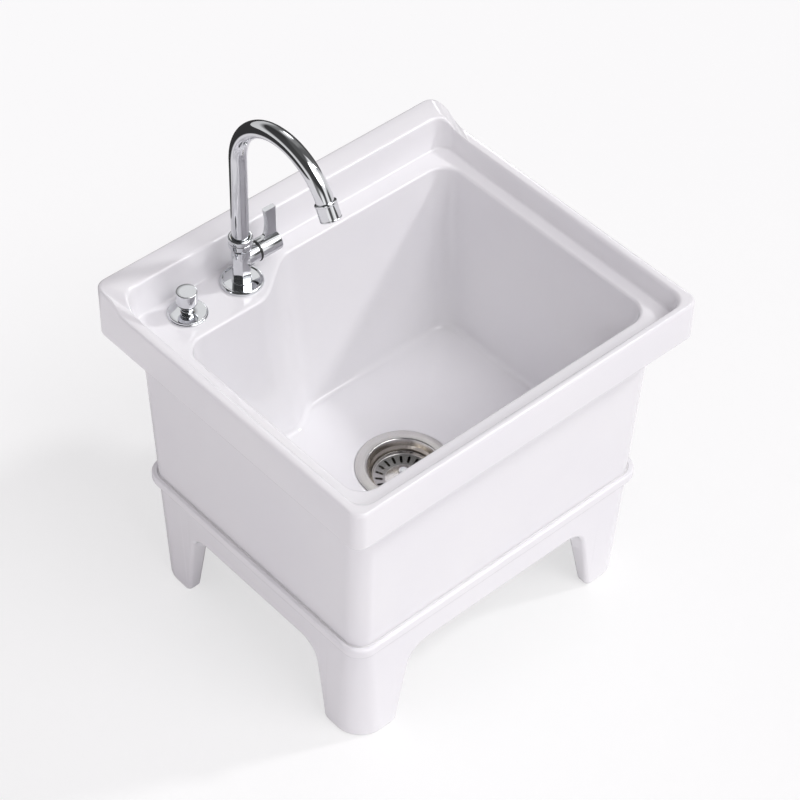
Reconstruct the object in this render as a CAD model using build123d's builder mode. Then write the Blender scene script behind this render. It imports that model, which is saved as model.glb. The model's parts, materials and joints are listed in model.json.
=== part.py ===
from build123d import *
from math import cos, radians, sin
import os

# Mop sink: a ceramic basin on a ceramic stand, with a swivel tap, a lift knob for the drain and a
# strainer drain. Millimetres. Z is up, the front faces -Y, and the origin is on the floor under the
# middle of the rim.

os.makedirs("parts", exist_ok=True)

# Clearances
loose_gap = 0.3
fixed_gap = 0.05
running_gap = 0.05
end_play = 0.1
thread_gap = 0.15
overcut = 1.0
level_slack = 0.01

# Rim of the basin
rim_width = 500.0
rim_depth = 440.0
rim_height = 445.0
rim_band = 54.0
rim_corner = 14.0
rim_outer_round = 5.0
rim_inner_round = 6.0
rim_foot_round = 2.5

# Upstand along the back edge
upstand_rise = 16.0
upstand_crest = 16.0
upstand_run = 34.0
upstand_shear = 24.0
upstand_shear_inset = 4.0

# Recess inside the rim: its floor is the deck
deck_drop = 24.0
recess_draft = 11.3
recess_side = 18.0
recess_front = 14.0
recess_back = 41.0
recess_corner = 16.0
recess_foot_round = 4.5

# Bowl
ledge_side = 19.0
ledge_front = 25.0
deck_wide = 68.0
deck_narrow = 25.0
sweep_inset = 108.0
sweep_run = 80.0
bowl_corner = 26.0
floor_rise = 25.0
bowl_lean_side = 15.0
bowl_lean_front = 14.0
bowl_lean_wide = 8.0
bowl_lean_narrow = 28.0
sweep_floor_inset = 134.0
sweep_floor_run = 48.0
sweep_pull = 0.45
bowl_edge_round = 5.0
bowl_floor_round = 16.0
floor_fall_drop = 5.0
floor_fall_run = 43.0
floor_fall_margin = 4.0
floor_fall_round = 120.0

# Body of the basin
body_inset_side = 28.0
body_inset_end = 29.0
body_top_corner = 22.0
body_taper_side = 7.0
body_taper_end = 7.5
body_foot_corner = 22.0
body_foot_height = 167.0
wall_thick = 12.0
deck_thick = 14.0
floor_thick = 13.6
under_recess_side = 65.0
under_recess_end = 68.5
under_recess_corner = 20.0

# Stand
stand_flush_side = 0.5
stand_flush_end = 0.5
stand_top_corner = 24.0
stand_taper_side = 2.0
stand_taper_end = 1.5
stand_foot_corner = 36.0
stand_wall = 18.0
bedding_thick = 2.0
seat_thick = 18.0
seat_ring = 27.0
bead_width = 6.0
bead_height = 14.0
bead_lip = 7.0
bead_round = 3.8
lip_gap = 1.6
lip_round = 1.0
arch_height = 114.0
front_leg_foot = 59.5
front_leg_top = 87.5
side_leg_foot = 58.5
side_leg_top = 81.5
arch_round = 28.0
arch_edge_round = 5.0
bedding_width = 8.0

# Fittings on the deck
knob_from_side = 56.0
knob_from_back = 30.0
tap_from_knob = 78.0
tap_from_back = 28.8
deck_hole = 28.0
clamp_washer_diameter = 42.0
rubber_washer_thick = 3.0
steel_washer_thick = 1.5
nut_sides = 6

# Tap
escutcheon_diameter = 50.5
escutcheon_height = 4.5
escutcheon_edge = 1.6
escutcheon_lip = 2.0
escutcheon_dish = 1.0
deck_gasket_diameter = 42.0
deck_gasket_thick = 1.0
base_flats = 19.6
base_sides = 6
base_height = 40.0
base_foot_diameter = 23.0
base_foot_height = 1.2
barrel_diameter = 22.0
barrel_height = 7.0
spigot_height = 12.0
shank_diameter = 20.955
shank_length = 58.0
shank_spigot_diameter = 14.0
shank_spigot_length = 8.0
shank_chamfer = 1.2
inlet_length = 16.0
thread_relief_width = 1.6
thread_relief_depth = 1.2
waterway = 10.0
arm_height = 34.0
arm_diameter = 24.4
arm_root_diameter = 18.0
arm_shoulder = 4.0
arm_reach = 20.0
lock_nut_flats = 30.0
lock_nut_height = 9.0
collar_diameter = 28.0
collar_lip = 3.6
collar_round = 2.0
collar_foot_taper = 2.5
socket_diameter = 16.1
socket_depth = 20.0
slip_ring_thick = 1.0
ferrule_flange_thick = 1.2
ferrule_flange_diameter = 21.6
ferrule_reach = 18.0
ferrule_tail = 15.0
ring_count = 2
ring_section = 2.0
ring_first = 5.0
ring_pitch = 7.0
spout_diameter = 20.0
spout_wall = 1.4
spout_rise = 113.0
spout_bend = 76.0
spout_turn = 152.0
spout_tip = 5.0
aerator_diameter = 24.6
aerator_length = 20.0
aerator_round = 1.6
aerator_grip = 4.5
aerator_bore = 21.0
aerator_washer_thick = 2.0
aerator_washer_bore = 14.0
aerator_insert_height = 10.0
aerator_hole = 2.6
aerator_pitch = 3.8
aerator_rows = 5

# Valve and lever
cartridge_diameter = 14.0
cartridge_length = 20.5
cartridge_proud = 2.3
bonnet_ring_diameter = 25.8
bonnet_ring_thick = 2.0
stem_diameter = 8.0
stem_inner = 14.0
stem_outer = 24.0
hub_diameter = 24.6
hub_length = 28.6
hub_round = 1.5
blade_rise = 52.0
blade_waist = 13.0
blade_waist_height = 29.0
blade_tip_flare = 3.0
blade_thick = 6.0
blade_inset = 13.1
blade_root = 9.0
blade_flare_in = 8.0
blade_flare_out = 0.9
blade_round = 0.8
grub_diameter = 4.0
grub_length = 4.5
grub_inset = 12.0
grub_socket_flats = 2.0
grub_socket_depth = 2.0

# Drain knob
knob_flange_diameter = 46.0
knob_flange_height = 4.0
knob_flange_edge = 1.4
knob_guide_diameter = 24.0
knob_guide_length = 42.0
knob_guide_inset = 2.0
knob_stem_diameter = 14.6
knob_stem_length = 46.5
knob_cable_socket = 12.0
knob_neck = 7.5
knob_ring_section = 2.0
knob_ring_first = 4.0
knob_ring_pitch = 4.6
knob_cap_diameter = 24.0
knob_cap_height = 22.5
knob_cap_taper = 6.0
knob_cap_foot_diameter = 17.0
knob_cap_round = 1.2
knob_cap_socket = 9.0
knob_travel = 10.0
knob_nut_flats = 32.0
knob_nut_height = 8.0
gland_flats = 22.0
gland_height = 9.0
gland_spigot = 5.0
gland_tube_diameter = 10.0
gland_tube_length = 18.0
cable_bore = 5.0

# Drain cup
drain_shift = 14.0
drain_hole = 94.0
drain_flange_diameter = 114.0
drain_flange_proud = 0.8
drain_recess_gap = 1.0
drain_sheet = 1.2
drain_ring_inner = 88.0
drain_shoulder_diameter = 81.0
drain_shoulder_drop = 8.0
drain_shoulder_run = 3.0
drain_cup_diameter = 76.0
drain_cup_depth = 38.0
drain_outlet_diameter = 40.0
drain_outlet_neck = 4.0
drain_bend = 2.5
flange_seal_width = 8.0
flange_seal_inset = 1.0
flange_seal_thick = 1.0
under_gasket_diameter = 112.0
under_gasket_thick = 2.5
friction_washer_thick = 1.2
lock_ring_diameter = 104.0
lock_ring_height = 8.0
lock_ring_notches = 8
lock_ring_notch_width = 12.0
lock_ring_notch_depth = 5.0

# Outlet housing under the drain cup
housing_wall = 3.0
housing_collar = 11.0
housing_shelf = 3.4
housing_throat = 3.0
housing_cone = 22.0
housing_spigot_diameter = 47.8
housing_spigot_length = 26.0
housing_seal_thick = 1.6
guide_hub_diameter = 14.0
guide_hub_height = 12.0
guide_arms = 3
guide_arm_width = 3.0
guide_ring_wall = 1.5
guide_ledge = 1.5
port_diameter = 15.0
port_length = 50.0
port_start = 28.0
port_bore = 6.0
port_drop = 14.0
port_bearing = 128.0
port_gland_flats = 13.0
port_gland_length = 10.0
lifter_diameter = 8.0
lifter_tail = 6.0
lifter_collar_diameter = 12.0
lifter_collar_height = 2.0

# Strainer
strainer_gap = 0.7
strainer_drop = 13.0
strainer_rim_height = 4.5
strainer_sheet = 1.0
strainer_bend = 1.2
strainer_ring_inner = 43.0
strainer_ring_fall = 3.4
strainer_dome_rise = 4.6
strainer_dome_flat = 14.0
slot_count = 20
slot_width = 3.2
slot_length = 9.5
strainer_knob_diameter = 12.5
strainer_knob_height = 7.0
strainer_knob_round = 2.6
strainer_neck_diameter = 7.0
strainer_neck_height = 3.0
stud_diameter = 5.0
sleeve_diameter = 9.0
plug_diameter = 47.0
plug_thick = 5.0
plug_taper = 2.0
plug_nut_flats = 8.0
plug_nut_height = 2.8
stud_end = 0.4

# Tailpiece
tail_diameter = 40.0
tail_wall = 1.6
tail_length = 36.0
tail_flange_thick = 2.0
tail_flange_width = 1.9
tail_neck_diameter = 43.0
tail_socket_length = 27.0
tail_washer_thick = 2.0
tail_nut_diameter = 58.0
tail_nut_height = 20.0
tail_nut_lip = 2.4
tail_nut_grips = 12
tail_nut_grip_diameter = 5.0

# Levels and places that follow from the sizes above
deck_height = rim_height - deck_drop
floor_height = body_foot_height + floor_rise
deck_under = deck_height - deck_thick
band_foot = rim_height - rim_band
recess_half = rim_width / 2 - recess_side
recess_y_front = -rim_depth / 2 + recess_front
recess_y_back = rim_depth / 2 - recess_back
bowl_half = recess_half - ledge_side
bowl_y_front = recess_y_front + ledge_front
bowl_y_wide = recess_y_back - deck_wide
bowl_y_narrow = recess_y_back - deck_narrow
sweep_start_x = sweep_inset - bowl_half
sweep_end_x = sweep_start_x + sweep_run
floor_half = bowl_half - bowl_lean_side
floor_y_front = bowl_y_front + bowl_lean_front
floor_y_wide = bowl_y_wide - bowl_lean_wide
floor_y_narrow = bowl_y_narrow - bowl_lean_narrow
sweep_floor_start_x = sweep_floor_inset - floor_half
sweep_floor_end_x = sweep_floor_start_x + sweep_floor_run
drain_y = (floor_y_front + floor_y_wide) / 2 + drain_shift
drain_recess_radius = drain_flange_diameter / 2 + drain_recess_gap
floor_fall_radius = floor_y_wide - bowl_floor_round - drain_y - floor_fall_margin
floor_fall = (floor_fall_radius - drain_recess_radius) * floor_fall_drop / floor_fall_run
drain_rim = floor_height - floor_fall
flange_top = drain_rim + drain_flange_proud
drain_seat = flange_top - drain_sheet - flange_seal_thick
floor_under = drain_seat - floor_thick
body_top_width = rim_width - 2 * body_inset_side
body_top_depth = rim_depth - 2 * body_inset_end
body_foot_width = body_top_width - 2 * body_taper_side
body_foot_depth = body_top_depth - 2 * body_taper_end
seat_height = body_foot_height - bedding_thick
stand_top_width = body_foot_width + 2 * stand_flush_side
stand_top_depth = body_foot_depth + 2 * stand_flush_end
stand_foot_width = stand_top_width - 2 * stand_taper_side
stand_foot_depth = stand_top_depth - 2 * stand_taper_end
knob_x = knob_from_side - recess_half
knob_y = recess_y_back - knob_from_back
tap_x = knob_x + tap_from_knob
tap_y = recess_y_back - tap_from_back
crest = rim_height + upstand_rise
crest_y = rim_depth / 2 - upstand_crest
swell_y = crest_y - upstand_run
swell_front = swell_y - upstand_shear - overcut


def rounded_loop(width, depth, corner):
    """Closed line of a rounded rectangle about the origin."""
    with BuildLine() as loop:
        FilletPolyline(
            (-width / 2, -depth / 2),
            (width / 2, -depth / 2),
            (width / 2, depth / 2),
            (-width / 2, depth / 2),
            radius=corner,
            close=True,
        )
    return loop.line


def bowl_loop(half, front, wide, narrow, start, end, corner):
    """Closed line of the bowl: deep at the right, with a soft sweep forward to the wide deck."""
    pull = (end - start) * sweep_pull
    with BuildLine() as loop:
        Line((-half + corner, front), (half - corner, front))
        TangentArc((half - corner, front), (half, front + corner), tangent=(1, 0))
        Line((half, front + corner), (half, narrow - corner))
        TangentArc((half, narrow - corner), (half - corner, narrow), tangent=(0, 1))
        Line((half - corner, narrow), (end, narrow))
        Bezier((end, narrow), (end - pull, narrow), (start + pull, wide), (start, wide))
        Line((start, wide), (-half + corner, wide))
        TangentArc((-half + corner, wide), (-half, wide - corner), tangent=(-1, 0))
        Line((-half, wide - corner), (-half, front + corner))
        TangentArc((-half, front + corner), (-half + corner, front), tangent=(0, -1))
    return loop.line


def service_loop(half, back, wide, narrow, start, end):
    """Closed line of the space behind the bowl wall, where the fittings hang under the deck."""
    pull = (end - start) * sweep_pull
    with BuildLine() as loop:
        Line((half, back), (-half, back))
        Line((-half, back), (-half, wide))
        Line((-half, wide), (start, wide))
        Bezier((start, wide), (start + pull, wide), (end - pull, narrow), (end, narrow))
        Line((end, narrow), (half, narrow))
        Line((half, narrow), (half, back))
    return loop.line


def swell_loop(shift):
    """Closed line over the end of the upstand, where the rim swells up to its crest."""
    start = swell_y + shift
    end = crest_y + shift
    middle = (start + end) / 2
    with BuildLine() as loop:
        Line((swell_front, rim_height), (start, rim_height))
        Bezier((start, rim_height), (middle, rim_height), (middle, crest), (end, crest))
        Polyline((end, crest), (end, crest + upstand_rise), (swell_front, crest + upstand_rise))
        Line((swell_front, crest + upstand_rise), (swell_front, rim_height))
    return loop.line


def upright(x, y):
    """Plane through a vertical axis at (x, y), with its second direction up."""
    return Plane(origin=(x, y, 0), x_dir=(1, 0, 0), z_dir=(0, -1, 0))


def level(x, y, z):
    """Horizontal plane centred on a fitting."""
    return Plane(origin=(x, y, z))


def ring_solid(plane, outer, inner, height):
    """Flat ring of two diameters, standing on a plane."""
    with BuildPart() as ring:
        with BuildSketch(plane):
            Circle(outer / 2)
            Circle(inner / 2, mode=Mode.SUBTRACT)
        extrude(amount=height)
    return ring.part


def o_ring(plane, outer, section):
    """Round-section ring of an outer diameter, centred on a plane."""
    with BuildPart() as ring:
        with Locations(plane):
            Torus((outer - section) / 2, section / 2)
    return ring.part


# Basin: one ceramic casting
service_back_top = body_top_depth / 2 - wall_thick
service_back_foot = body_foot_depth / 2 - wall_thick
service_half_top = body_top_width / 2 - wall_thick
service_half_foot = body_foot_width / 2 - wall_thick
drain_axis = Axis((0, drain_y, 0), (0, 0, 1))
recess_y = (recess_y_front + recess_y_back) / 2
recess_long = recess_y_back - recess_y_front
deck_level = (deck_height - level_slack, deck_height + level_slack)
floor_level = (floor_height - level_slack, floor_height + level_slack)
under_recess_width = body_foot_width - 2 * under_recess_side
under_recess_depth = body_foot_depth - 2 * under_recess_end


def on_top(edge):
    """True for an edge at the top of the rim or the upstand."""
    return edge.center().Z > rim_height - fixed_gap


def on_outline(edge):
    """True for an edge that runs round the outside of the rim."""
    middle = edge.center()
    return max(abs(middle.X) - rim_width / 2, abs(middle.Y) - rim_depth / 2) > -rim_corner / 2


with BuildPart() as basin:
    with BuildSketch(Plane.XY.offset(band_foot)):
        add(rounded_loop(rim_width, rim_depth, rim_corner))
        make_face()
    extrude(amount=crest - band_foot)
    fillet(basin.faces().sort_by(Axis.Z)[0].edges(), rim_foot_round)
    with BuildSketch(Plane.XY.offset(rim_height)):
        with Locations((0, (swell_front - rim_depth / 2) / 2)):
            Rectangle(rim_width, swell_front + rim_depth / 2)
    extrude(amount=upstand_rise, mode=Mode.SUBTRACT)
    for side in (-1, 1):
        with BuildSketch(Plane.YZ.offset(side * rim_width / 2)):
            add(swell_loop(0))
            make_face()
        with BuildSketch(Plane.YZ.offset(side * (recess_half - upstand_shear_inset))):
            add(swell_loop(-upstand_shear))
            make_face()
        loft(mode=Mode.SUBTRACT)
    with BuildSketch(level(0, recess_y, deck_height)):
        add(rounded_loop(2 * recess_half, recess_long, recess_corner))
        make_face()
    extrude(amount=crest - deck_height + overcut, taper=-recess_draft, mode=Mode.SUBTRACT)
    fillet(basin.edges(Select.LAST).filter_by(on_top), rim_inner_round)
    fillet(basin.edges().filter_by(on_top).filter_by(on_outline), rim_outer_round)
    with BuildSketch(Plane.XY.offset(band_foot)):
        add(rounded_loop(body_top_width, body_top_depth, body_top_corner))
        make_face()
    with BuildSketch(Plane.XY.offset(body_foot_height)):
        add(rounded_loop(body_foot_width, body_foot_depth, body_foot_corner))
        make_face()
    loft()
    with BuildSketch(Plane.XY.offset(deck_height)):
        add(
            bowl_loop(
                bowl_half, bowl_y_front, bowl_y_wide, bowl_y_narrow,
                sweep_start_x, sweep_end_x, bowl_corner,
            )
        )
        make_face()
    with BuildSketch(Plane.XY.offset(floor_height)):
        add(
            bowl_loop(
                floor_half, floor_y_front, floor_y_wide, floor_y_narrow,
                sweep_floor_start_x, sweep_floor_end_x, bowl_corner,
            )
        )
        make_face()
    loft(mode=Mode.SUBTRACT)
    fillet(basin.edges().filter_by_position(Axis.Z, *floor_level), bowl_floor_round)
    deck_face = basin.faces().filter_by_position(Axis.Z, *deck_level)[0]
    fillet(deck_face.inner_wires()[0].edges(), bowl_edge_round)
    deck_face = basin.faces().filter_by_position(Axis.Z, *deck_level)[0]
    fillet(deck_face.outer_wire().edges(), recess_foot_round)
    with BuildSketch(upright(0, drain_y)):
        with BuildLine():
            Polyline(
                (0, floor_height + overcut),
                (floor_fall_radius, floor_height + overcut),
                (floor_fall_radius, floor_height),
                (drain_recess_radius, drain_rim),
                (drain_recess_radius, drain_seat),
                (drain_hole / 2, drain_seat),
                (drain_hole / 2, body_foot_height),
                (0, body_foot_height),
                close=True,
            )
        make_face()
    revolve(axis=drain_axis, mode=Mode.SUBTRACT)
    fall_edges = basin.edges(Select.LAST).filter_by(GeomType.CIRCLE)
    fillet(fall_edges.sort_by(Edge.radius)[-1], floor_fall_round)
    with BuildSketch(level(0, drain_y, body_foot_height)):
        add(rounded_loop(under_recess_width, under_recess_depth, under_recess_corner))
        make_face()
    extrude(amount=floor_under - body_foot_height, mode=Mode.SUBTRACT)
    with BuildSketch(Plane.XY.offset(deck_under)):
        add(
            service_loop(
                service_half_top, service_back_top, bowl_y_wide + wall_thick,
                bowl_y_narrow + wall_thick, sweep_start_x, sweep_end_x,
            )
        )
        make_face()
    with BuildSketch(Plane.XY.offset(body_foot_height)):
        add(
            service_loop(
                service_half_foot, service_back_foot, floor_y_wide + wall_thick,
                floor_y_narrow + wall_thick, sweep_floor_start_x, sweep_floor_end_x,
            )
        )
        make_face()
    loft(mode=Mode.SUBTRACT)
    with BuildSketch(Plane.XY.offset(deck_under)):
        with Locations((tap_x, tap_y), (knob_x, knob_y)):
            Circle(deck_hole / 2)
    extrude(amount=deck_thick, mode=Mode.SUBTRACT)
basin.part.label = "basin"
export_step(basin.part, "parts/basin.step")

# Bedding seal between the basin and the stand
bedding_inset = (wall_thick - bedding_width) / 2
bedding_long = body_foot_width - 2 * bedding_inset
bedding_short = body_foot_depth - 2 * bedding_inset

with BuildPart() as bedding_seal:
    with BuildSketch(Plane.XY.offset(seat_height)):
        add(rounded_loop(bedding_long, bedding_short, body_foot_corner))
        make_face()
    extrude(amount=bedding_thick)
    inner_long = bedding_long - 2 * bedding_width
    inner_short = bedding_short - 2 * bedding_width
    with BuildSketch(Plane.XY.offset(seat_height)):
        add(rounded_loop(inner_long, inner_short, body_foot_corner - bedding_width))
        make_face()
    extrude(amount=bedding_thick, mode=Mode.SUBTRACT)
bedding_seal.part.label = "bedding_seal"
export_step(bedding_seal.part, "parts/bedding_seal.step")

# Stand: a second casting, open below, with an arch in each side
bead_top = seat_height + bead_lip
bead_foot = bead_top - bead_height
bead_long = stand_top_width + 2 * bead_width
bead_short = stand_top_depth + 2 * bead_width
seat_under = seat_height - seat_thick
seat_long = body_foot_width + 2 * lip_gap
seat_short = body_foot_depth + 2 * lip_gap
opening_long = stand_top_width - 2 * seat_ring
opening_short = stand_top_depth - 2 * seat_ring
hollow_long = stand_foot_width - 2 * stand_wall
hollow_short = stand_foot_depth - 2 * stand_wall
front_arch = (stand_foot_width - 2 * front_leg_foot, stand_foot_width - 2 * front_leg_top)
side_arch = (stand_foot_depth - 2 * side_leg_foot, stand_foot_depth - 2 * side_leg_top)
arches = ((Plane.XZ, Axis.Y, *front_arch), (Plane.YZ, Axis.X, *side_arch))

with BuildPart() as stand:
    with BuildSketch(Plane.XY.offset(bead_foot)):
        add(rounded_loop(bead_long, bead_short, stand_top_corner))
        make_face()
    extrude(amount=bead_height)
    fillet(stand.edges().filter_by(Plane.XY), bead_round)
    with BuildSketch(Plane.XY):
        add(rounded_loop(stand_foot_width, stand_foot_depth, stand_foot_corner))
        make_face()
    with BuildSketch(Plane.XY.offset(bead_foot + bead_round)):
        add(rounded_loop(stand_top_width, stand_top_depth, stand_top_corner))
        make_face()
    loft()
    with BuildSketch(Plane.XY.offset(seat_height)):
        add(rounded_loop(seat_long, seat_short, body_foot_corner + lip_gap))
        make_face()
    extrude(amount=bead_lip, mode=Mode.SUBTRACT)
    fillet(stand.faces().sort_by(Axis.Z)[-1].inner_wires()[0].edges(), lip_round)
    with BuildSketch(Plane.XY.offset(seat_under)):
        add(rounded_loop(opening_long, opening_short, stand_top_corner))
        make_face()
    extrude(amount=seat_thick, mode=Mode.SUBTRACT)
    with BuildSketch(Plane.XY):
        add(rounded_loop(hollow_long, hollow_short, stand_foot_corner - stand_wall))
        make_face()
    extrude(amount=seat_under, mode=Mode.SUBTRACT)
    for plane, across, foot, top in arches:
        with BuildSketch(plane):
            with BuildLine():
                FilletPolyline(
                    (-foot / 2, 0),
                    (-top / 2, arch_height),
                    (top / 2, arch_height),
                    (foot / 2, 0),
                    radius=arch_round,
                )
                Line((-foot / 2, 0), (foot / 2, 0))
            make_face()
        extrude(amount=stand_foot_width, both=True, mode=Mode.SUBTRACT)
        arch_edges = stand.edges(Select.LAST).filter_by_position(Axis.Z, overcut, arch_height + overcut)
        fillet(arch_edges.filter_by(across, reverse=True), arch_edge_round)
stand.part.label = "stand"
export_step(stand.part, "parts/stand.step")

# Tap body: hexagon column on a low round foot, round neck, threaded spigot and a side arm for the valve
tap_foot = deck_height + escutcheon_height - escutcheon_dish
base_top = tap_foot + base_height
barrel_top = base_top + barrel_height
spigot_top = barrel_top + spigot_height
arm_z = deck_height + arm_height
arm_end = tap_x + arm_reach
cartridge_inner = arm_end + cartridge_proud - cartridge_length
tap_axis = Axis((tap_x, tap_y, 0), (0, 0, 1))

with BuildPart() as tap_body:
    with BuildSketch(level(tap_x, tap_y, tap_foot)):
        RegularPolygon(base_flats / 2, base_sides, major_radius=False)
    extrude(amount=base_height)
    with BuildSketch(level(tap_x, tap_y, tap_foot)):
        Circle(base_foot_diameter / 2)
    extrude(amount=base_foot_height)
    with BuildSketch(level(tap_x, tap_y, base_top)):
        Circle(barrel_diameter / 2)
    extrude(amount=barrel_height + spigot_height)
    with BuildSketch(upright(0, tap_y)):
        with BuildLine():
            Polyline(
                (tap_x, arm_z),
                (tap_x, arm_z + arm_root_diameter / 2),
                (tap_x + arm_shoulder, arm_z + arm_diameter / 2),
                (arm_end, arm_z + arm_diameter / 2),
                (arm_end, arm_z),
                close=True,
            )
        make_face()
    revolve(axis=Axis((tap_x, tap_y, arm_z), (1, 0, 0)))
    with BuildSketch(upright(tap_x, tap_y)):
        with BuildLine():
            Polyline(
                (0, tap_foot),
                (shank_spigot_diameter / 2 + fixed_gap, tap_foot),
                (shank_spigot_diameter / 2 + fixed_gap, tap_foot + shank_spigot_length + fixed_gap),
                (waterway / 2, tap_foot + shank_spigot_length + fixed_gap),
                (waterway / 2, spigot_top - socket_depth),
                (socket_diameter / 2, spigot_top - socket_depth),
                (socket_diameter / 2, spigot_top),
                (0, spigot_top),
                close=True,
            )
        make_face()
    revolve(axis=tap_axis, mode=Mode.SUBTRACT)
    with BuildSketch(Plane(origin=(arm_end, tap_y, arm_z), z_dir=(-1, 0, 0))):
        Circle(cartridge_diameter / 2 + fixed_gap)
    extrude(amount=arm_end - cartridge_inner, mode=Mode.SUBTRACT)
tap_body.part.label = "tap_body"
export_step(tap_body.part, "parts/tap_body.step")

# Escutcheon on the deck, dished inside a narrow lip, with its gasket in a pocket below
escutcheon_inner = escutcheon_diameter / 2 - escutcheon_edge - escutcheon_lip

with BuildPart() as escutcheon:
    with BuildSketch(upright(tap_x, tap_y)):
        with BuildLine():
            Polyline(
                (shank_diameter / 2 + fixed_gap, deck_height + deck_gasket_thick),
                (deck_gasket_diameter / 2 + fixed_gap, deck_height + deck_gasket_thick),
                (deck_gasket_diameter / 2 + fixed_gap, deck_height),
                (escutcheon_diameter / 2, deck_height),
                (escutcheon_diameter / 2, deck_height + escutcheon_height - escutcheon_edge),
                (escutcheon_diameter / 2 - escutcheon_edge, deck_height + escutcheon_height),
                (escutcheon_inner, deck_height + escutcheon_height),
                (escutcheon_inner - escutcheon_edge, tap_foot),
                (shank_diameter / 2 + fixed_gap, tap_foot),
                close=True,
            )
        make_face()
    revolve(axis=tap_axis)
escutcheon.part.label = "escutcheon"
export_step(escutcheon.part, "parts/escutcheon.step")

with BuildPart() as escutcheon_gasket:
    add(ring_solid(level(tap_x, tap_y, deck_height), deck_gasket_diameter, deck_hole, deck_gasket_thick))
escutcheon_gasket.part.label = "escutcheon_gasket"
export_step(escutcheon_gasket.part, "parts/escutcheon_gasket.step")

# Hollow threaded shank through the deck, clamped from below
shank_foot = tap_foot + shank_spigot_length - shank_length
tap_rubber_foot = deck_under - rubber_washer_thick
tap_steel_foot = tap_rubber_foot - steel_washer_thick
tap_nut_foot = tap_steel_foot - lock_nut_height
shank_bore = shank_diameter + 2 * thread_gap
tap_washer_size = (clamp_washer_diameter, shank_bore)

with BuildPart() as tap_shank:
    with BuildSketch(level(tap_x, tap_y, shank_foot)):
        Circle(shank_diameter / 2)
    extrude(amount=shank_length - shank_spigot_length)
    with BuildSketch(level(tap_x, tap_y, tap_foot)):
        Circle(shank_spigot_diameter / 2)
    extrude(amount=shank_spigot_length)
    with BuildSketch(level(tap_x, tap_y, shank_foot + inlet_length)):
        Circle(shank_diameter / 2)
        Circle(shank_diameter / 2 - thread_relief_depth, mode=Mode.SUBTRACT)
    extrude(amount=thread_relief_width, mode=Mode.SUBTRACT)
    with BuildSketch(level(tap_x, tap_y, shank_foot)):
        Circle(waterway / 2)
    extrude(amount=shank_length, mode=Mode.SUBTRACT)
    chamfer(tap_shank.faces().sort_by(Axis.Z)[0].edges().sort_by(SortBy.LENGTH)[-1], shank_chamfer)
tap_shank.part.label = "tap_shank"
export_step(tap_shank.part, "parts/tap_shank.step")

with BuildPart() as tap_rubber_washer:
    add(ring_solid(level(tap_x, tap_y, tap_rubber_foot), *tap_washer_size, rubber_washer_thick))
tap_rubber_washer.part.label = "tap_rubber_washer"
export_step(tap_rubber_washer.part, "parts/tap_rubber_washer.step")

with BuildPart() as tap_steel_washer:
    add(ring_solid(level(tap_x, tap_y, tap_steel_foot), *tap_washer_size, steel_washer_thick))
tap_steel_washer.part.label = "tap_steel_washer"
export_step(tap_steel_washer.part, "parts/tap_steel_washer.step")

with BuildPart() as tap_lock_nut:
    with BuildSketch(level(tap_x, tap_y, tap_nut_foot)):
        RegularPolygon(lock_nut_flats / 2, nut_sides, major_radius=False)
        Circle(shank_bore / 2, mode=Mode.SUBTRACT)
    extrude(amount=lock_nut_height)
tap_lock_nut.part.label = "tap_lock_nut"
export_step(tap_lock_nut.part, "parts/tap_lock_nut.step")

# Swivel of the spout: ferrule in the socket, slip ring under its flange, collar screwed over it
slip_ring_top = spigot_top + slip_ring_thick
ferrule_flange_foot = slip_ring_top + running_gap
tube_foot = ferrule_flange_foot + ferrule_flange_thick
collar_lip_foot = tube_foot + end_play
collar_top = collar_lip_foot + collar_lip
collar_bore = barrel_diameter + 2 * thread_gap
ferrule_diameter = socket_diameter - 2 * running_gap
ferrule_ring_z = ferrule_flange_foot - ring_first
tube_bore = spout_diameter - 2 * spout_wall

slip_ring_size = (ferrule_flange_diameter, socket_diameter, slip_ring_thick)

with BuildPart() as slip_ring:
    add(ring_solid(level(tap_x, tap_y, spigot_top), *slip_ring_size))
slip_ring.part.label = "slip_ring"
export_step(slip_ring.part, "parts/slip_ring.step")

with BuildPart() as spout_collar:
    with BuildSketch(upright(tap_x, tap_y)):
        with BuildLine():
            Polyline(
                (collar_bore / 2, barrel_top),
                (collar_diameter / 2 - collar_foot_taper, barrel_top),
                (collar_diameter / 2, barrel_top + 2 * collar_foot_taper),
                (collar_diameter / 2, collar_top),
                (spout_diameter / 2 + loose_gap, collar_top),
                (spout_diameter / 2 + loose_gap, collar_lip_foot),
                (collar_bore / 2, collar_lip_foot),
                close=True,
            )
        make_face()
    revolve(axis=tap_axis)
    fillet(spout_collar.faces().sort_by(Axis.Z)[-1].edges().sort_by(SortBy.LENGTH)[-1], collar_round)
spout_collar.part.label = "spout_collar"
export_step(spout_collar.part, "parts/spout_collar.step")

with BuildPart() as spout_ferrule:
    with BuildSketch(level(tap_x, tap_y, ferrule_flange_foot)):
        Circle(ferrule_flange_diameter / 2)
    extrude(amount=ferrule_flange_thick)
    with BuildSketch(level(tap_x, tap_y, tube_foot)):
        Circle(tube_bore / 2 - fixed_gap)
    extrude(amount=ferrule_tail)
    with BuildSketch(level(tap_x, tap_y, ferrule_flange_foot - ferrule_reach)):
        Circle(ferrule_diameter / 2)
    extrude(amount=ferrule_reach)
    for ring in range(ring_count):
        groove_z = ferrule_ring_z - ring * ring_pitch
        with BuildSketch(level(tap_x, tap_y, groove_z - ring_section / 2)):
            Circle(ferrule_diameter / 2)
            Circle(ferrule_diameter / 2 - ring_section - fixed_gap, mode=Mode.SUBTRACT)
        extrude(amount=ring_section, mode=Mode.SUBTRACT)
    with BuildSketch(level(tap_x, tap_y, ferrule_flange_foot - ferrule_reach)):
        Circle(waterway / 2)
    extrude(amount=ferrule_reach + ferrule_flange_thick + ferrule_tail, mode=Mode.SUBTRACT)
spout_ferrule.part.label = "spout_ferrule"
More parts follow.
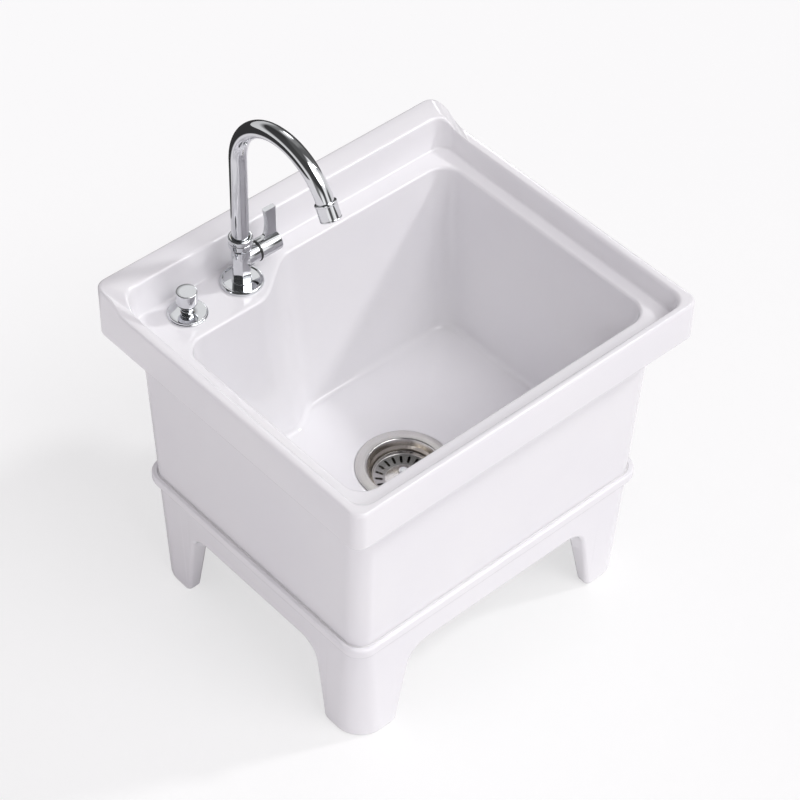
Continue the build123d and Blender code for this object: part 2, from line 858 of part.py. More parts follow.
export_step(spout_ferrule.part, "parts/spout_ferrule.step")

with BuildPart() as spout_o_rings:
    for ring in range(ring_count):
        ring_level = level(tap_x, tap_y, ferrule_ring_z - ring * ring_pitch)
        add(o_ring(ring_level, ferrule_diameter, ring_section))
spout_o_rings.part.label = "spout_o_rings"
export_step(spout_o_rings.part, "parts/spout_o_rings.step")

# Spout: one bent tube that rises, goes over and looks down into the bowl
bend_foot = tube_foot + spout_rise
bend_centre_y = tap_y - spout_bend
side_view = Plane(origin=(tap_x, 0, 0), x_dir=(0, 1, 0), z_dir=(1, 0, 0))
with BuildLine(side_view) as spout_path:
    rise_line = Line((tap_y, tube_foot), (tap_y, bend_foot))
    bend_line = CenterArc((bend_centre_y, bend_foot), spout_bend, 0, spout_turn)
    tip_line = Line(bend_line @ 1, bend_line @ 1 + (bend_line % 1) * spout_tip)
tube_end = spout_path.line @ 1
tube_end_direction = spout_path.line % 1


def along_outlet(distance):
    """Plane across the spout, a distance beyond the tube's end."""
    centre = tube_end + tube_end_direction * distance
    return Plane(origin=centre, x_dir=(1, 0, 0), z_dir=tube_end_direction)


with BuildPart() as spout_tube:
    with BuildSketch(level(tap_x, tap_y, tube_foot)):
        Circle(spout_diameter / 2)
        Circle(tube_bore / 2, mode=Mode.SUBTRACT)
    sweep(path=spout_path.line)
spout_tube.part.label = "spout_tube"
export_step(spout_tube.part, "parts/spout_tube.step")

# Aerator: a smooth shell over the tube's end, with a washer and a pierced insert
washer_outer = aerator_bore - 2 * fixed_gap
insert_start = aerator_washer_thick


def on_shell(edge):
    """True for a round edge on the outside of the aerator."""
    return edge.radius > (aerator_bore + aerator_diameter) / 4


with BuildPart() as aerator_shell:
    with BuildSketch(along_outlet(-aerator_grip)):
        Circle(aerator_diameter / 2)
        Circle(spout_diameter / 2 + fixed_gap, mode=Mode.SUBTRACT)
    extrude(amount=aerator_length)
    with BuildSketch(along_outlet(0)):
        Circle(aerator_bore / 2)
    extrude(amount=insert_start + aerator_insert_height, mode=Mode.SUBTRACT)
    fillet(aerator_shell.edges().filter_by(GeomType.CIRCLE).filter_by(on_shell), aerator_round)
aerator_shell.part.label = "aerator_shell"
export_step(aerator_shell.part, "parts/aerator_shell.step")

with BuildPart() as aerator_washer:
    add(ring_solid(along_outlet(0), washer_outer, aerator_washer_bore, aerator_washer_thick))
aerator_washer.part.label = "aerator_washer"
export_step(aerator_washer.part, "parts/aerator_washer.step")

with BuildPart() as aerator_insert:
    with BuildSketch(along_outlet(insert_start)):
        Circle(washer_outer / 2)
        with HexLocations(aerator_pitch / 2, aerator_rows, aerator_rows):
            Circle(aerator_hole / 2, mode=Mode.SUBTRACT)
    extrude(amount=aerator_insert_height)
aerator_insert.part.label = "aerator_insert"
export_step(aerator_insert.part, "parts/aerator_insert.step")

# Valve in the side arm, turned by its stem
cartridge_face = arm_end + cartridge_proud
hub_start = cartridge_face + loose_gap


def across(x):
    """Plane square to the side arm."""
    return Plane(origin=(x, tap_y, arm_z), z_dir=(1, 0, 0))


with BuildPart() as valve_cartridge:
    with BuildSketch(across(cartridge_inner)):
        Circle(cartridge_diameter / 2)
    extrude(amount=cartridge_length)
    with BuildSketch(across(cartridge_face - stem_inner)):
        Circle(stem_diameter / 2 + running_gap)
    extrude(amount=stem_inner, mode=Mode.SUBTRACT)
valve_cartridge.part.label = "valve_cartridge"
export_step(valve_cartridge.part, "parts/valve_cartridge.step")

bonnet_ring_size = (bonnet_ring_diameter, cartridge_diameter + 2 * fixed_gap, bonnet_ring_thick)

with BuildPart() as bonnet_ring:
    add(ring_solid(across(arm_end), *bonnet_ring_size))
bonnet_ring.part.label = "bonnet_ring"
export_step(bonnet_ring.part, "parts/bonnet_ring.step")

with BuildPart() as valve_stem:
    with BuildSketch(across(cartridge_face - stem_inner + end_play)):
        Circle(stem_diameter / 2)
    extrude(amount=stem_inner + stem_outer - end_play)
valve_stem.part.label = "valve_stem"
export_step(valve_stem.part, "parts/valve_stem.step")

# Lever: a round hub with a flat blade that flares into it
blade_left = hub_start + blade_inset
blade_right = blade_left + blade_waist
blade_tip = arm_z + blade_rise
waist_z = arm_z + blade_waist_height
root_z = arm_z + blade_root
grub_x = hub_start + grub_inset
grub_top = arm_z - stem_diameter / 2

with BuildPart() as lever_handle:
    with BuildSketch(upright(0, tap_y)):
        with BuildLine():
            TangentArc((blade_left, waist_z), (blade_left - blade_flare_in, root_z), tangent=(0, -1))
            Line((blade_left - blade_flare_in, root_z), (blade_right + blade_flare_out, root_z))
            TangentArc((blade_right, waist_z), (blade_right + blade_flare_out, root_z), tangent=(0, -1))
            Line((blade_right, waist_z), (blade_right, blade_tip))
            Line((blade_right, blade_tip), (blade_left - blade_tip_flare, blade_tip))
            TangentArc((blade_left, waist_z), (blade_left - blade_tip_flare, blade_tip), tangent=(0, 1))
        make_face()
    extrude(amount=blade_thick / 2, both=True)
    fillet(lever_handle.faces().sort_by(Axis.Z)[-1].edges(), blade_round)
    with BuildSketch(across(hub_start)):
        Circle(hub_diameter / 2)
    extrude(amount=hub_length)
    fillet(lever_handle.faces().sort_by(Axis.X)[-1].edges(), hub_round)
    with BuildSketch(across(hub_start)):
        Circle(stem_diameter / 2 + fixed_gap)
    extrude(amount=stem_outer - loose_gap + fixed_gap, mode=Mode.SUBTRACT)
    with BuildSketch(level(grub_x, tap_y, arm_z - hub_diameter / 2)):
        Circle(grub_diameter / 2 + fixed_gap)
    extrude(amount=hub_diameter / 2, mode=Mode.SUBTRACT)
lever_handle.part.label = "lever_handle"
export_step(lever_handle.part, "parts/lever_handle.step")

with BuildPart() as lever_grub_screw:
    with BuildSketch(level(grub_x, tap_y, grub_top - grub_length)):
        Circle(grub_diameter / 2)
    extrude(amount=grub_length)
    with BuildSketch(level(grub_x, tap_y, grub_top - grub_length)):
        RegularPolygon(grub_socket_flats / 2, nut_sides, major_radius=False)
    extrude(amount=grub_socket_depth, mode=Mode.SUBTRACT)
lever_grub_screw.part.label = "lever_grub_screw"
export_step(lever_grub_screw.part, "parts/lever_grub_screw.step")

# Drain knob: fixed flange and guide on the deck
knob_axis = Axis((knob_x, knob_y, 0), (0, 0, 1))
knob_flange_top = deck_height + knob_flange_height
guide_top = knob_flange_top - knob_guide_inset
guide_foot = guide_top - knob_guide_length
guide_bore = knob_stem_diameter + 2 * running_gap
knob_ring_z = guide_top - knob_travel - knob_ring_first
guide_hole = knob_guide_diameter + 2 * fixed_gap
guide_thread_hole = knob_guide_diameter + 2 * thread_gap
knob_washer_size = (clamp_washer_diameter, guide_thread_hole, rubber_washer_thick)
knob_rubber_foot = deck_under - rubber_washer_thick
knob_nut_foot = knob_rubber_foot - knob_nut_height

with BuildPart() as knob_flange:
    with BuildSketch(upright(knob_x, knob_y)):
        with BuildLine():
            Polyline(
                (guide_hole / 2, deck_height),
                (knob_flange_diameter / 2, deck_height),
                (knob_flange_diameter / 2, knob_flange_top - knob_flange_edge),
                (knob_flange_diameter / 2 - knob_flange_edge, knob_flange_top),
                (knob_stem_diameter / 2 + loose_gap, knob_flange_top),
                (knob_stem_diameter / 2 + loose_gap, guide_top),
                (guide_hole / 2, guide_top),
                close=True,
            )
        make_face()
    revolve(axis=knob_axis)
knob_flange.part.label = "knob_flange"
export_step(knob_flange.part, "parts/knob_flange.step")

with BuildPart() as knob_guide:
    add(ring_solid(level(knob_x, knob_y, guide_foot), knob_guide_diameter, guide_bore, knob_guide_length))
knob_guide.part.label = "knob_guide"
export_step(knob_guide.part, "parts/knob_guide.step")

with BuildPart() as knob_rubber_washer:
    add(ring_solid(level(knob_x, knob_y, knob_rubber_foot), *knob_washer_size))
knob_rubber_washer.part.label = "knob_rubber_washer"
export_step(knob_rubber_washer.part, "parts/knob_rubber_washer.step")

with BuildPart() as knob_lock_nut:
    with BuildSketch(level(knob_x, knob_y, knob_nut_foot)):
        RegularPolygon(knob_nut_flats / 2, nut_sides, major_radius=False)
        Circle(guide_thread_hole / 2, mode=Mode.SUBTRACT)
    extrude(amount=knob_nut_height)
knob_lock_nut.part.label = "knob_lock_nut"
export_step(knob_lock_nut.part, "parts/knob_lock_nut.step")

# Gland at the foot of the guide, where the drain's pull cable leaves
gland_top = guide_foot
gland_foot = gland_top - gland_height
gland_spigot_diameter = guide_bore - 2 * fixed_gap

with BuildPart() as cable_gland:
    with BuildSketch(level(knob_x, knob_y, gland_foot)):
        RegularPolygon(gland_flats / 2, nut_sides, major_radius=False)
    extrude(amount=gland_height)
    with BuildSketch(level(knob_x, knob_y, gland_top)):
        Circle(gland_spigot_diameter / 2)
    extrude(amount=gland_spigot)
    with BuildSketch(level(knob_x, knob_y, gland_foot - gland_tube_length)):
        Circle(gland_tube_diameter / 2)
    extrude(amount=gland_tube_length)
    with BuildSketch(level(knob_x, knob_y, gland_foot - gland_tube_length)):
        Circle(cable_bore / 2)
    extrude(amount=gland_tube_length + gland_height + gland_spigot, mode=Mode.SUBTRACT)
cable_gland.part.label = "cable_gland"
export_step(cable_gland.part, "parts/cable_gland.step")

# Moving part of the drain knob: cap on a grooved stem
cap_foot = knob_flange_top + knob_neck
cap_top = cap_foot + knob_cap_height
stem_top = cap_foot + knob_cap_socket
stem_foot = stem_top - knob_stem_length

with BuildPart() as knob_cap:
    with BuildSketch(upright(knob_x, knob_y)):
        with BuildLine():
            Polyline(
                (0, cap_top),
                (knob_cap_diameter / 2, cap_top),
                (knob_cap_diameter / 2, cap_foot + knob_cap_taper),
                (knob_cap_foot_diameter / 2, cap_foot),
                (knob_stem_diameter / 2 + fixed_gap, cap_foot),
                (knob_stem_diameter / 2 + fixed_gap, stem_top),
                (0, stem_top),
                close=True,
            )
        make_face()
    revolve(axis=knob_axis)
    fillet(knob_cap.faces().sort_by(Axis.Z)[-1].edges(), knob_cap_round)
knob_cap.part.label = "knob_cap"
export_step(knob_cap.part, "parts/knob_cap.step")

with BuildPart() as knob_stem:
    with BuildSketch(level(knob_x, knob_y, stem_foot)):
        Circle(knob_stem_diameter / 2)
    extrude(amount=knob_stem_length)
    for ring in range(ring_count):
        groove_z = knob_ring_z - ring * knob_ring_pitch
        with BuildSketch(level(knob_x, knob_y, groove_z - knob_ring_section / 2)):
            Circle(knob_stem_diameter / 2)
            Circle(knob_stem_diameter / 2 - knob_ring_section - fixed_gap, mode=Mode.SUBTRACT)
        extrude(amount=knob_ring_section, mode=Mode.SUBTRACT)
    with BuildSketch(level(knob_x, knob_y, stem_foot)):
        Circle(cable_bore / 2)
    extrude(amount=knob_cable_socket, mode=Mode.SUBTRACT)
knob_stem.part.label = "knob_stem"
export_step(knob_stem.part, "parts/knob_stem.step")

with BuildPart() as knob_o_rings:
    for ring in range(ring_count):
        ring_level = level(knob_x, knob_y, knob_ring_z - ring * knob_ring_pitch)
        add(o_ring(ring_level, knob_stem_diameter, knob_ring_section))
knob_o_rings.part.label = "knob_o_rings"
export_step(knob_o_rings.part, "parts/knob_o_rings.step")

# Drain cup: one drawn sheet, flanged over the hole in the floor
cup_floor = flange_top - drain_cup_depth
cup_under = cup_floor - drain_sheet
cup_outer = drain_cup_diameter + 2 * drain_sheet
shoulder_z = flange_top - drain_shoulder_drop
outlet_foot = cup_under - drain_outlet_neck

with BuildPart() as drain_cup:
    with BuildSketch(upright(0, drain_y)):
        with BuildLine():
            FilletPolyline(
                (drain_flange_diameter / 2, flange_top),
                (drain_ring_inner / 2, flange_top),
                (drain_shoulder_diameter / 2, shoulder_z),
                (drain_cup_diameter / 2, shoulder_z - drain_shoulder_run),
                (drain_cup_diameter / 2, cup_floor),
                (drain_outlet_diameter / 2, cup_floor),
                (drain_outlet_diameter / 2, outlet_foot),
                radius=drain_bend,
            )
            offset(amount=drain_sheet, side=Side.LEFT)
        make_face()
    revolve(axis=drain_axis)
drain_cup.part.label = "drain_cup"
export_step(drain_cup.part, "parts/drain_cup.step")

with BuildPart() as flange_seal:
    seal_outer = drain_flange_diameter - 2 * flange_seal_inset
    seal_inner = seal_outer - 2 * flange_seal_width
    add(ring_solid(level(0, drain_y, drain_seat), seal_outer, seal_inner, flange_seal_thick))
flange_seal.part.label = "flange_seal"
export_step(flange_seal.part, "parts/flange_seal.step")

# Clamp below the floor: gasket, slip washer and a notched lock ring on the cup's thread
under_gasket_foot = floor_under - under_gasket_thick
friction_washer_foot = under_gasket_foot - friction_washer_thick
lock_ring_foot = friction_washer_foot - lock_ring_height
cup_thread_bore = cup_outer + 2 * thread_gap
under_gasket_size = (under_gasket_diameter, cup_thread_bore, under_gasket_thick)
friction_washer_size = (lock_ring_diameter, cup_thread_bore, friction_washer_thick)

with BuildPart() as under_gasket:
    add(ring_solid(level(0, drain_y, under_gasket_foot), *under_gasket_size))
under_gasket.part.label = "under_gasket"
export_step(under_gasket.part, "parts/under_gasket.step")

with BuildPart() as friction_washer:
    add(ring_solid(level(0, drain_y, friction_washer_foot), *friction_washer_size))
friction_washer.part.label = "friction_washer"
export_step(friction_washer.part, "parts/friction_washer.step")

with BuildPart() as drain_lock_ring:
    with BuildSketch(level(0, drain_y, lock_ring_foot)):
        Circle(lock_ring_diameter / 2)
        Circle(cup_thread_bore / 2, mode=Mode.SUBTRACT)
        with PolarLocations(lock_ring_diameter / 2, lock_ring_notches):
            Rectangle(2 * lock_ring_notch_depth, lock_ring_notch_width, mode=Mode.SUBTRACT)
    extrude(amount=lock_ring_height)
drain_lock_ring.part.label = "drain_lock_ring"
export_step(drain_lock_ring.part, "parts/drain_lock_ring.step")

# Outlet housing: screwed over the foot of the cup, with a side port for the pull cable
shelf_top = cup_under - housing_seal_thick
collar_inner = cup_thread_bore / 2
housing_outer = collar_inner + housing_wall
throat_inner = collar_inner - housing_shelf
throat_foot = shelf_top - housing_throat
spigot_inner = housing_spigot_diameter / 2 - housing_wall
ledge_inner = spigot_inner - guide_ledge
housing_spigot_top = throat_foot - housing_cone
housing_foot = housing_spigot_top - housing_spigot_length
guide_foot_z = housing_spigot_top - guide_hub_height
port_z = shelf_top - port_drop
port_direction = Vector(cos(radians(port_bearing)), sin(radians(port_bearing)), 0)


def along_port(distance):
    """Upright plane across the side port, a distance from the drain's axis."""
    return Plane(origin=Vector(0, drain_y, port_z) + port_direction * distance, z_dir=port_direction)


with BuildPart() as outlet_housing:
    with BuildSketch(upright(0, drain_y)):
        with BuildLine():
            Polyline(
                (0, cup_under + housing_collar),
                (housing_outer, cup_under + housing_collar),
                (housing_outer, throat_foot),
                (housing_spigot_diameter / 2, housing_spigot_top),
                (housing_spigot_diameter / 2, housing_foot),
                (0, housing_foot),
                close=True,
            )
        make_face()
    revolve(axis=drain_axis)
    with BuildSketch(along_port(port_start)):
        Circle(port_diameter / 2)
    extrude(amount=port_length)
    with BuildSketch(upright(0, drain_y)):
        with BuildLine():
            Polyline(
                (0, cup_under + housing_collar),
                (collar_inner, cup_under + housing_collar),
                (collar_inner, shelf_top),
                (throat_inner, shelf_top),
                (throat_inner, throat_foot),
                (spigot_inner, housing_spigot_top),
                (spigot_inner, guide_foot_z),
                (ledge_inner, guide_foot_z),
                (ledge_inner, housing_foot),
                (0, housing_foot),
                close=True,
            )
        make_face()
    revolve(axis=drain_axis, mode=Mode.SUBTRACT)
    with BuildSketch(along_port(0)):
        Circle(port_bore / 2)
    extrude(amount=port_start + port_length, mode=Mode.SUBTRACT)
outlet_housing.part.label = "outlet_housing"
export_step(outlet_housing.part, "parts/outlet_housing.step")

# Guide for the lifter: a hub on three arms in a ring, dropped onto the housing's ledge
guide_ring_outer = spigot_inner - fixed_gap
guide_ring_middle = guide_ring_outer - guide_ring_wall / 2

with BuildPart() as lifter_guide:
    with BuildSketch(level(0, drain_y, guide_foot_z)):
        Circle(guide_ring_outer)
        Circle(guide_ring_outer - guide_ring_wall, mode=Mode.SUBTRACT)
        Circle(guide_hub_diameter / 2)
        with PolarLocations(guide_ring_middle / 2, guide_arms):
            Rectangle(guide_ring_middle, guide_arm_width)
        Circle(lifter_diameter / 2 + running_gap, mode=Mode.SUBTRACT)
    extrude(amount=guide_hub_height)
lifter_guide.part.label = "lifter_guide"
export_step(lifter_guide.part, "parts/lifter_guide.step")

with BuildPart() as housing_seal:
    add(ring_solid(level(0, drain_y, shelf_top), 2 * collar_inner, 2 * throat_inner, housing_seal_thick))
housing_seal.part.label = "housing_seal"
export_step(housing_seal.part, "parts/housing_seal.step")

with BuildPart() as port_gland:
    with BuildSketch(along_port(port_start + port_length)):
        RegularPolygon(port_gland_flats / 2, nut_sides, major_radius=False)
        Circle(cable_bore / 2, mode=Mode.SUBTRACT)
    extrude(amount=port_gland_length)
port_gland.part.label = "port_gland"
export_step(port_gland.part, "parts/port_gland.step")

# Strainer basket: one pressed sheet with a ring of slots round a low dome
basket_rim = drain_cup_diameter / 2 - strainer_gap - strainer_sheet
basket_top = flange_top - strainer_drop
ring_outer_z = basket_top - strainer_rim_height
ring_inner_z = ring_outer_z - strainer_ring_fall
dome_z = ring_inner_z + strainer_dome_rise
slot_radius = (basket_rim + strainer_ring_inner / 2) / 2
stud_hole = stud_diameter / 2 + fixed_gap

with BuildPart() as strainer_basket:
    with BuildSketch(upright(0, drain_y)):
        with BuildLine():
            FilletPolyline(
                (basket_rim, basket_top),
                (basket_rim, ring_outer_z),
                (strainer_ring_inner / 2, ring_inner_z),
                (strainer_dome_flat / 2, dome_z),
                (stud_hole, dome_z),
                radius=strainer_bend,
            )
            offset(amount=strainer_sheet, side=Side.LEFT)
        make_face()
    revolve(axis=drain_axis)
    with BuildSketch(level(0, drain_y, ring_inner_z - 2 * strainer_sheet)):
        with PolarLocations(slot_radius, slot_count):
            SlotOverall(slot_length, slot_width)
    extrude(amount=strainer_rim_height + strainer_ring_fall, mode=Mode.SUBTRACT)
strainer_basket.part.label = "strainer_basket"
export_step(strainer_basket.part, "parts/strainer_basket.step")

# Plug below the basket, held on the stud of the strainer's knob by a sleeve and a nut
plug_foot = cup_floor + loose_gap
plug_top = plug_foot + plug_thick
nut_foot = plug_foot - plug_nut_height
stud_foot = nut_foot - stud_end
knob_under = dome_z + strainer_neck_height
dome_under = dome_z - strainer_sheet

with BuildPart() as strainer_knob:
    with BuildSketch(level(0, drain_y, stud_foot)):
        Circle(stud_diameter / 2)
    extrude(amount=dome_z - stud_foot)
    with BuildSketch(level(0, drain_y, dome_z)):
        Circle(strainer_neck_diameter / 2)
    extrude(amount=strainer_neck_height)
    with BuildSketch(level(0, drain_y, knob_under)):
        Circle(strainer_knob_diameter / 2)
    extrude(amount=strainer_knob_height)
    fillet(strainer_knob.faces().sort_by(Axis.Z)[-1].edges(), strainer_knob_round)
strainer_knob.part.label = "strainer_knob"
export_step(strainer_knob.part, "parts/strainer_knob.step")

with BuildPart() as strainer_sleeve:
    add(ring_solid(level(0, drain_y, plug_top), sleeve_diameter, 2 * stud_hole, dome_under - plug_top))
strainer_sleeve.part.label = "strainer_sleeve"
export_step(strainer_sleeve.part, "parts/strainer_sleeve.step")

with BuildPart() as strainer_plug:
    with BuildSketch(upright(0, drain_y)):
        with BuildLine():
            Polyline(
                (stud_hole, plug_foot),
                (plug_diameter / 2 - plug_taper, plug_foot),
                (plug_diameter / 2, plug_foot + plug_taper),
                (plug_diameter / 2, plug_top),
                (stud_hole, plug_top),
                close=True,
            )
        make_face()
    revolve(axis=drain_axis)
strainer_plug.part.label = "strainer_plug"
export_step(strainer_plug.part, "parts/strainer_plug.step")

with BuildPart() as strainer_nut:
    with BuildSketch(level(0, drain_y, nut_foot)):
        RegularPolygon(plug_nut_flats / 2, nut_sides, major_radius=False)
        Circle(stud_hole, mode=Mode.SUBTRACT)
    extrude(amount=plug_nut_height)
strainer_nut.part.label = "strainer_nut"
export_step(strainer_nut.part, "parts/strainer_nut.step")

# Lifter: a collared pin in the guide hub that pushes the strainer up
lifter_top = stud_foot - loose_gap
lifter_collar_foot = housing_spigot_top + end_play
lifter_foot = housing_spigot_top - guide_hub_height - lifter_tail

with BuildPart() as lifter_pin:
    with BuildSketch(level(0, drain_y, lifter_foot)):
        Circle(lifter_diameter / 2)
    extrude(amount=lifter_top - lifter_foot)
    with BuildSketch(level(0, drain_y, lifter_collar_foot)):
        Circle(lifter_collar_diameter / 2)
    extrude(amount=lifter_collar_height)
lifter_pin.part.label = "lifter_pin"
export_step(lifter_pin.part, "parts/lifter_pin.step")

# Tailpiece under the housing: flanged tube, washer and union nut
tail_flange_top = housing_foot - tail_washer_thick
tail_flange_foot = tail_flange_top - tail_flange_thick
tail_nut_foot = tail_flange_foot - tail_nut_lip
tail_flange_diameter = tail_neck_diameter + 2 * tail_flange_width
tail_nut_bore = housing_spigot_diameter + 2 * thread_gap
tail_bore = tail_diameter - 2 * tail_wall
tail_foot = tail_flange_top - tail_length

with BuildPart() as tail_washer:
    add(ring_solid(level(0, drain_y, tail_flange_top), tail_flange_diameter, tail_bore, tail_washer_thick))
tail_washer.part.label = "tail_washer"
export_step(tail_washer.part, "parts/tail_washer.step")

with BuildPart() as tailpiece:
    with BuildSketch(level(0, drain_y, tail_flange_foot)):
        Circle(tail_flange_diameter / 2)
    extrude(amount=tail_flange_thick)
    with BuildSketch(level(0, drain_y, tail_foot + tail_socket_length)):
        Circle(tail_neck_diameter / 2)
    extrude(amount=tail_length - tail_socket_length)
    with BuildSketch(level(0, drain_y, tail_foot)):
        Circle(tail_diameter / 2)
    extrude(amount=tail_socket_length)
    with BuildSketch(level(0, drain_y, tail_foot)):
        Circle(tail_bore / 2)
    extrude(amount=tail_length, mode=Mode.SUBTRACT)
tailpiece.part.label = "tailpiece"
export_step(tailpiece.part, "parts/tailpiece.step")

with BuildPart() as tail_nut:
    with BuildSketch(level(0, drain_y, tail_nut_foot)):
        Circle(tail_nut_diameter / 2)
        with PolarLocations(tail_nut_diameter / 2, tail_nut_grips):
            Circle(tail_nut_grip_diameter / 2, mode=Mode.SUBTRACT)
        Circle(tail_neck_diameter / 2 + fixed_gap, mode=Mode.SUBTRACT)
    extrude(amount=tail_nut_height)
    with BuildSketch(level(0, drain_y, tail_flange_foot)):
        Circle(tail_nut_bore / 2)
    extrude(amount=tail_nut_height, mode=Mode.SUBTRACT)
tail_nut.part.label = "tail_nut"
export_step(tail_nut.part, "parts/tail_nut.step")
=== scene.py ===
import json
import logging
import math
from dataclasses import dataclass
from enum import Enum
from typing import Sequence

import bmesh
import bpy
import numpy as np
from mathutils import Matrix, Vector

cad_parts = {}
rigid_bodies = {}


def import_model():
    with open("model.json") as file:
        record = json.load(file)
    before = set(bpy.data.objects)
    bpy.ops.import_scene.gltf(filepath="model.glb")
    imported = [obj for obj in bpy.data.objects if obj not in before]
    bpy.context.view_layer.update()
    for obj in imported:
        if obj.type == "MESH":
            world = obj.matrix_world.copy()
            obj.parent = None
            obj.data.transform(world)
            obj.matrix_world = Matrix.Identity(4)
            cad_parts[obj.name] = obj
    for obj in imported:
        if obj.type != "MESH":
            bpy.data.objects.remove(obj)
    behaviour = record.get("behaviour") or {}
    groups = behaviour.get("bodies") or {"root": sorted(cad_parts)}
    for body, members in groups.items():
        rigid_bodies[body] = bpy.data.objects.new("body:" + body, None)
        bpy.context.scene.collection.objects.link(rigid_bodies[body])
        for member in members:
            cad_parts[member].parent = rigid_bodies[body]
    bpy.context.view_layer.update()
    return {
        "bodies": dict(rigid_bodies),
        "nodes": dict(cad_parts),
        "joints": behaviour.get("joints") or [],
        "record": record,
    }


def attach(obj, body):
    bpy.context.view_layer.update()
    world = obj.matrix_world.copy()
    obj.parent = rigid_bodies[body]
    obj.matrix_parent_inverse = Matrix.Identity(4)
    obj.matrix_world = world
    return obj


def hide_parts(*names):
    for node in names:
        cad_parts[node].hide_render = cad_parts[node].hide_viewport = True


Grid = np.ndarray
Socket = bpy.types.NodeSocket
Pair = tuple[float, float]
Triple = tuple[float, float, float]
Colour = Corner = Triple
Stop = Pair
Lobe = tuple[float, float, float, float]
Beam = tuple[float, float, float, float, float]

log = logging.getLogger("mop_sink")

METRES = 0.001
TURNED_STEPS = 6
STACKED_STEPS = 5


class Slot(Enum):
    """The record's material slots."""

    GLAZE = "glaze"
    SEALANT = "sealant"
    CHROME = "chrome"
    BRASS = "brass"
    ZINC_STEEL = "zinc_steel"
    BRUSHED_STEEL = "brushed_steel"
    BLACK_RUBBER = "black_rubber"
    BLACK_PLASTIC = "black_plastic"
    WHITE_PLASTIC = "white_plastic"


class Body(Enum):
    """The CAD bodies that pieces ride on."""

    SINK = "sink"
    SPOUT = "spout"
    LEVER = "lever"
    KNOB = "knob"
    STRAINER = "strainer"


# Curves and grids, all in millimetres


def unit(vectors: Grid) -> Grid:
    """Vectors of length one, along the last axis.

    Args:
        vectors: any stack of vectors.

    Returns:
        The same stack, each vector divided by its length.
    """
    length = np.linalg.norm(vectors, axis=-1, keepdims=True)
    return vectors / np.maximum(length, 1e-9)


def rounded_rings(rings: Grid, radii: Sequence[float], steps: int, closed: bool = False) -> Grid:
    """Rounds the corners that a stack of rings makes, column by column.

    At each ring with a radius, the corner between the rings before and after it becomes an arc that
    touches both straight runs. The arc's centre lies on the corner's bisector at radius / sin(half
    angle), and points between its ends come by spherical interpolation.

    Args:
        rings: control rings, (rings, columns, 3).
        radii: one radius for each ring, 0 for a crisp corner.
        steps: points on each arc.
        closed: True where the last ring goes on to the first.

    Returns:
        The rings with their arcs, (more rings, columns, 3).
    """
    count = len(rings)
    made: list[Grid] = []
    for index, radius in enumerate(radii):
        here = rings[index]
        if radius <= 0 or (not closed and index in (0, count - 1)):
            made.append(here[None])
            continue
        back = rings[index - 1] - here
        ahead = rings[(index + 1) % count] - here
        room = 0.49 * np.minimum(np.linalg.norm(back, axis=-1), np.linalg.norm(ahead, axis=-1))
        back, ahead = unit(back), unit(ahead)
        cosine = np.clip((back * ahead).sum(-1), -0.99999, 0.99999)
        half = np.arccos(cosine) / 2
        reach = np.minimum(radius / np.tan(half), room)[:, None]
        size = reach * np.tan(half)[:, None]
        centre = here + unit(back + ahead) * size / np.sin(half)[:, None]
        start, end = here + back * reach - centre, here + ahead * reach - centre
        sweep = (math.pi - 2 * half)[:, None]
        share = np.linspace(0, 1, steps)[:, None, None]
        arc = (np.sin((1 - share) * sweep) * start + np.sin(share * sweep) * end) / np.sin(sweep)
        made.append(centre + arc)
    return np.concatenate(made)


def even_shares(along: tuple[int, int]) -> list[Grid]:
    """Even cuts of a rectangle's four sides: so many on front and back, so many on right and left."""
    return [np.linspace(0, 1, count, endpoint=False) for count in along * 2]


def rounded_rectangle(
    width: float, depth: float, corner: float, shares: Sequence[Grid], turn: int, y: float = 0.0
) -> Grid:
    """Closed line of a rounded rectangle, anticlockwise from the front left, as (points, 2).

    Each side is a straight run, and each corner a quarter circle of the given radius about a point
    that lies that radius in from both sides.

    Args:
        width: size along X.
        depth: size along Y.
        corner: corner radius.
        shares: for the front, right, back and left side, where its points lie, from 0 up to 1.
        turn: points on a corner.
        y: where its middle lies on Y.
    """
    half = np.array([width, depth]) / 2 - corner
    stops = half * [[-1, -1], [1, -1], [1, 1], [-1, 1]]
    runs: list[Grid] = []
    for index, (start, end) in enumerate(zip(stops, np.roll(stops, -1, 0))):
        facing = math.radians(90 * index - 90)
        normal = np.array([math.cos(facing), math.sin(facing)])
        runs.append(start + (end - start) * shares[index][:, None] + normal * corner)
        angle = facing + np.linspace(0, math.pi / 2, turn, endpoint=False)
        runs.append(end + corner * np.stack([np.cos(angle), np.sin(angle)], 1))
    return np.concatenate(runs) + [0.0, y]


def circle(radius: float, points: int) -> Grid:
    """Closed circle about the origin, as (points, 2)."""
    angle = np.linspace(0, 2 * math.pi, points, endpoint=False)
    return radius * np.stack([np.cos(angle), np.sin(angle)], 1)


def rounded_polygon(flats: float, sides: int, corner: float, along: int, turn: int) -> Grid:
    """Closed regular polygon with softened corners, as (points, 2).

    Each side keeps its straight run, and each corner is an arc whose centre lies corner / cos(half a
    side's angle) in from the corner, so that it touches both sides.

    Args:
        flats: distance across two opposite sides.
        sides: number of sides.
        corner: radius of the softened corners.
        along: points on each side.
        turn: points on each corner.
    """
    half_angle = math.pi / sides
    hub = flats / 2 - corner
    runs: list[Grid] = []
    for index in range(sides):
        facing = 2 * half_angle * index + half_angle
        normal = np.array([math.cos(facing), math.sin(facing)])
        across = np.array([-normal[1], normal[0]])
        reach = hub * math.tan(half_angle)
        share = np.linspace(-reach, reach, along, endpoint=False)[:, None]
        runs.append(normal * flats / 2 + across * share)
        angle = facing + np.linspace(0, 2 * half_angle, turn, endpoint=False)
        middle = normal * hub + across * reach
        runs.append(middle + corner * np.stack([np.cos(angle), np.sin(angle)], 1))
    return np.concatenate(runs)


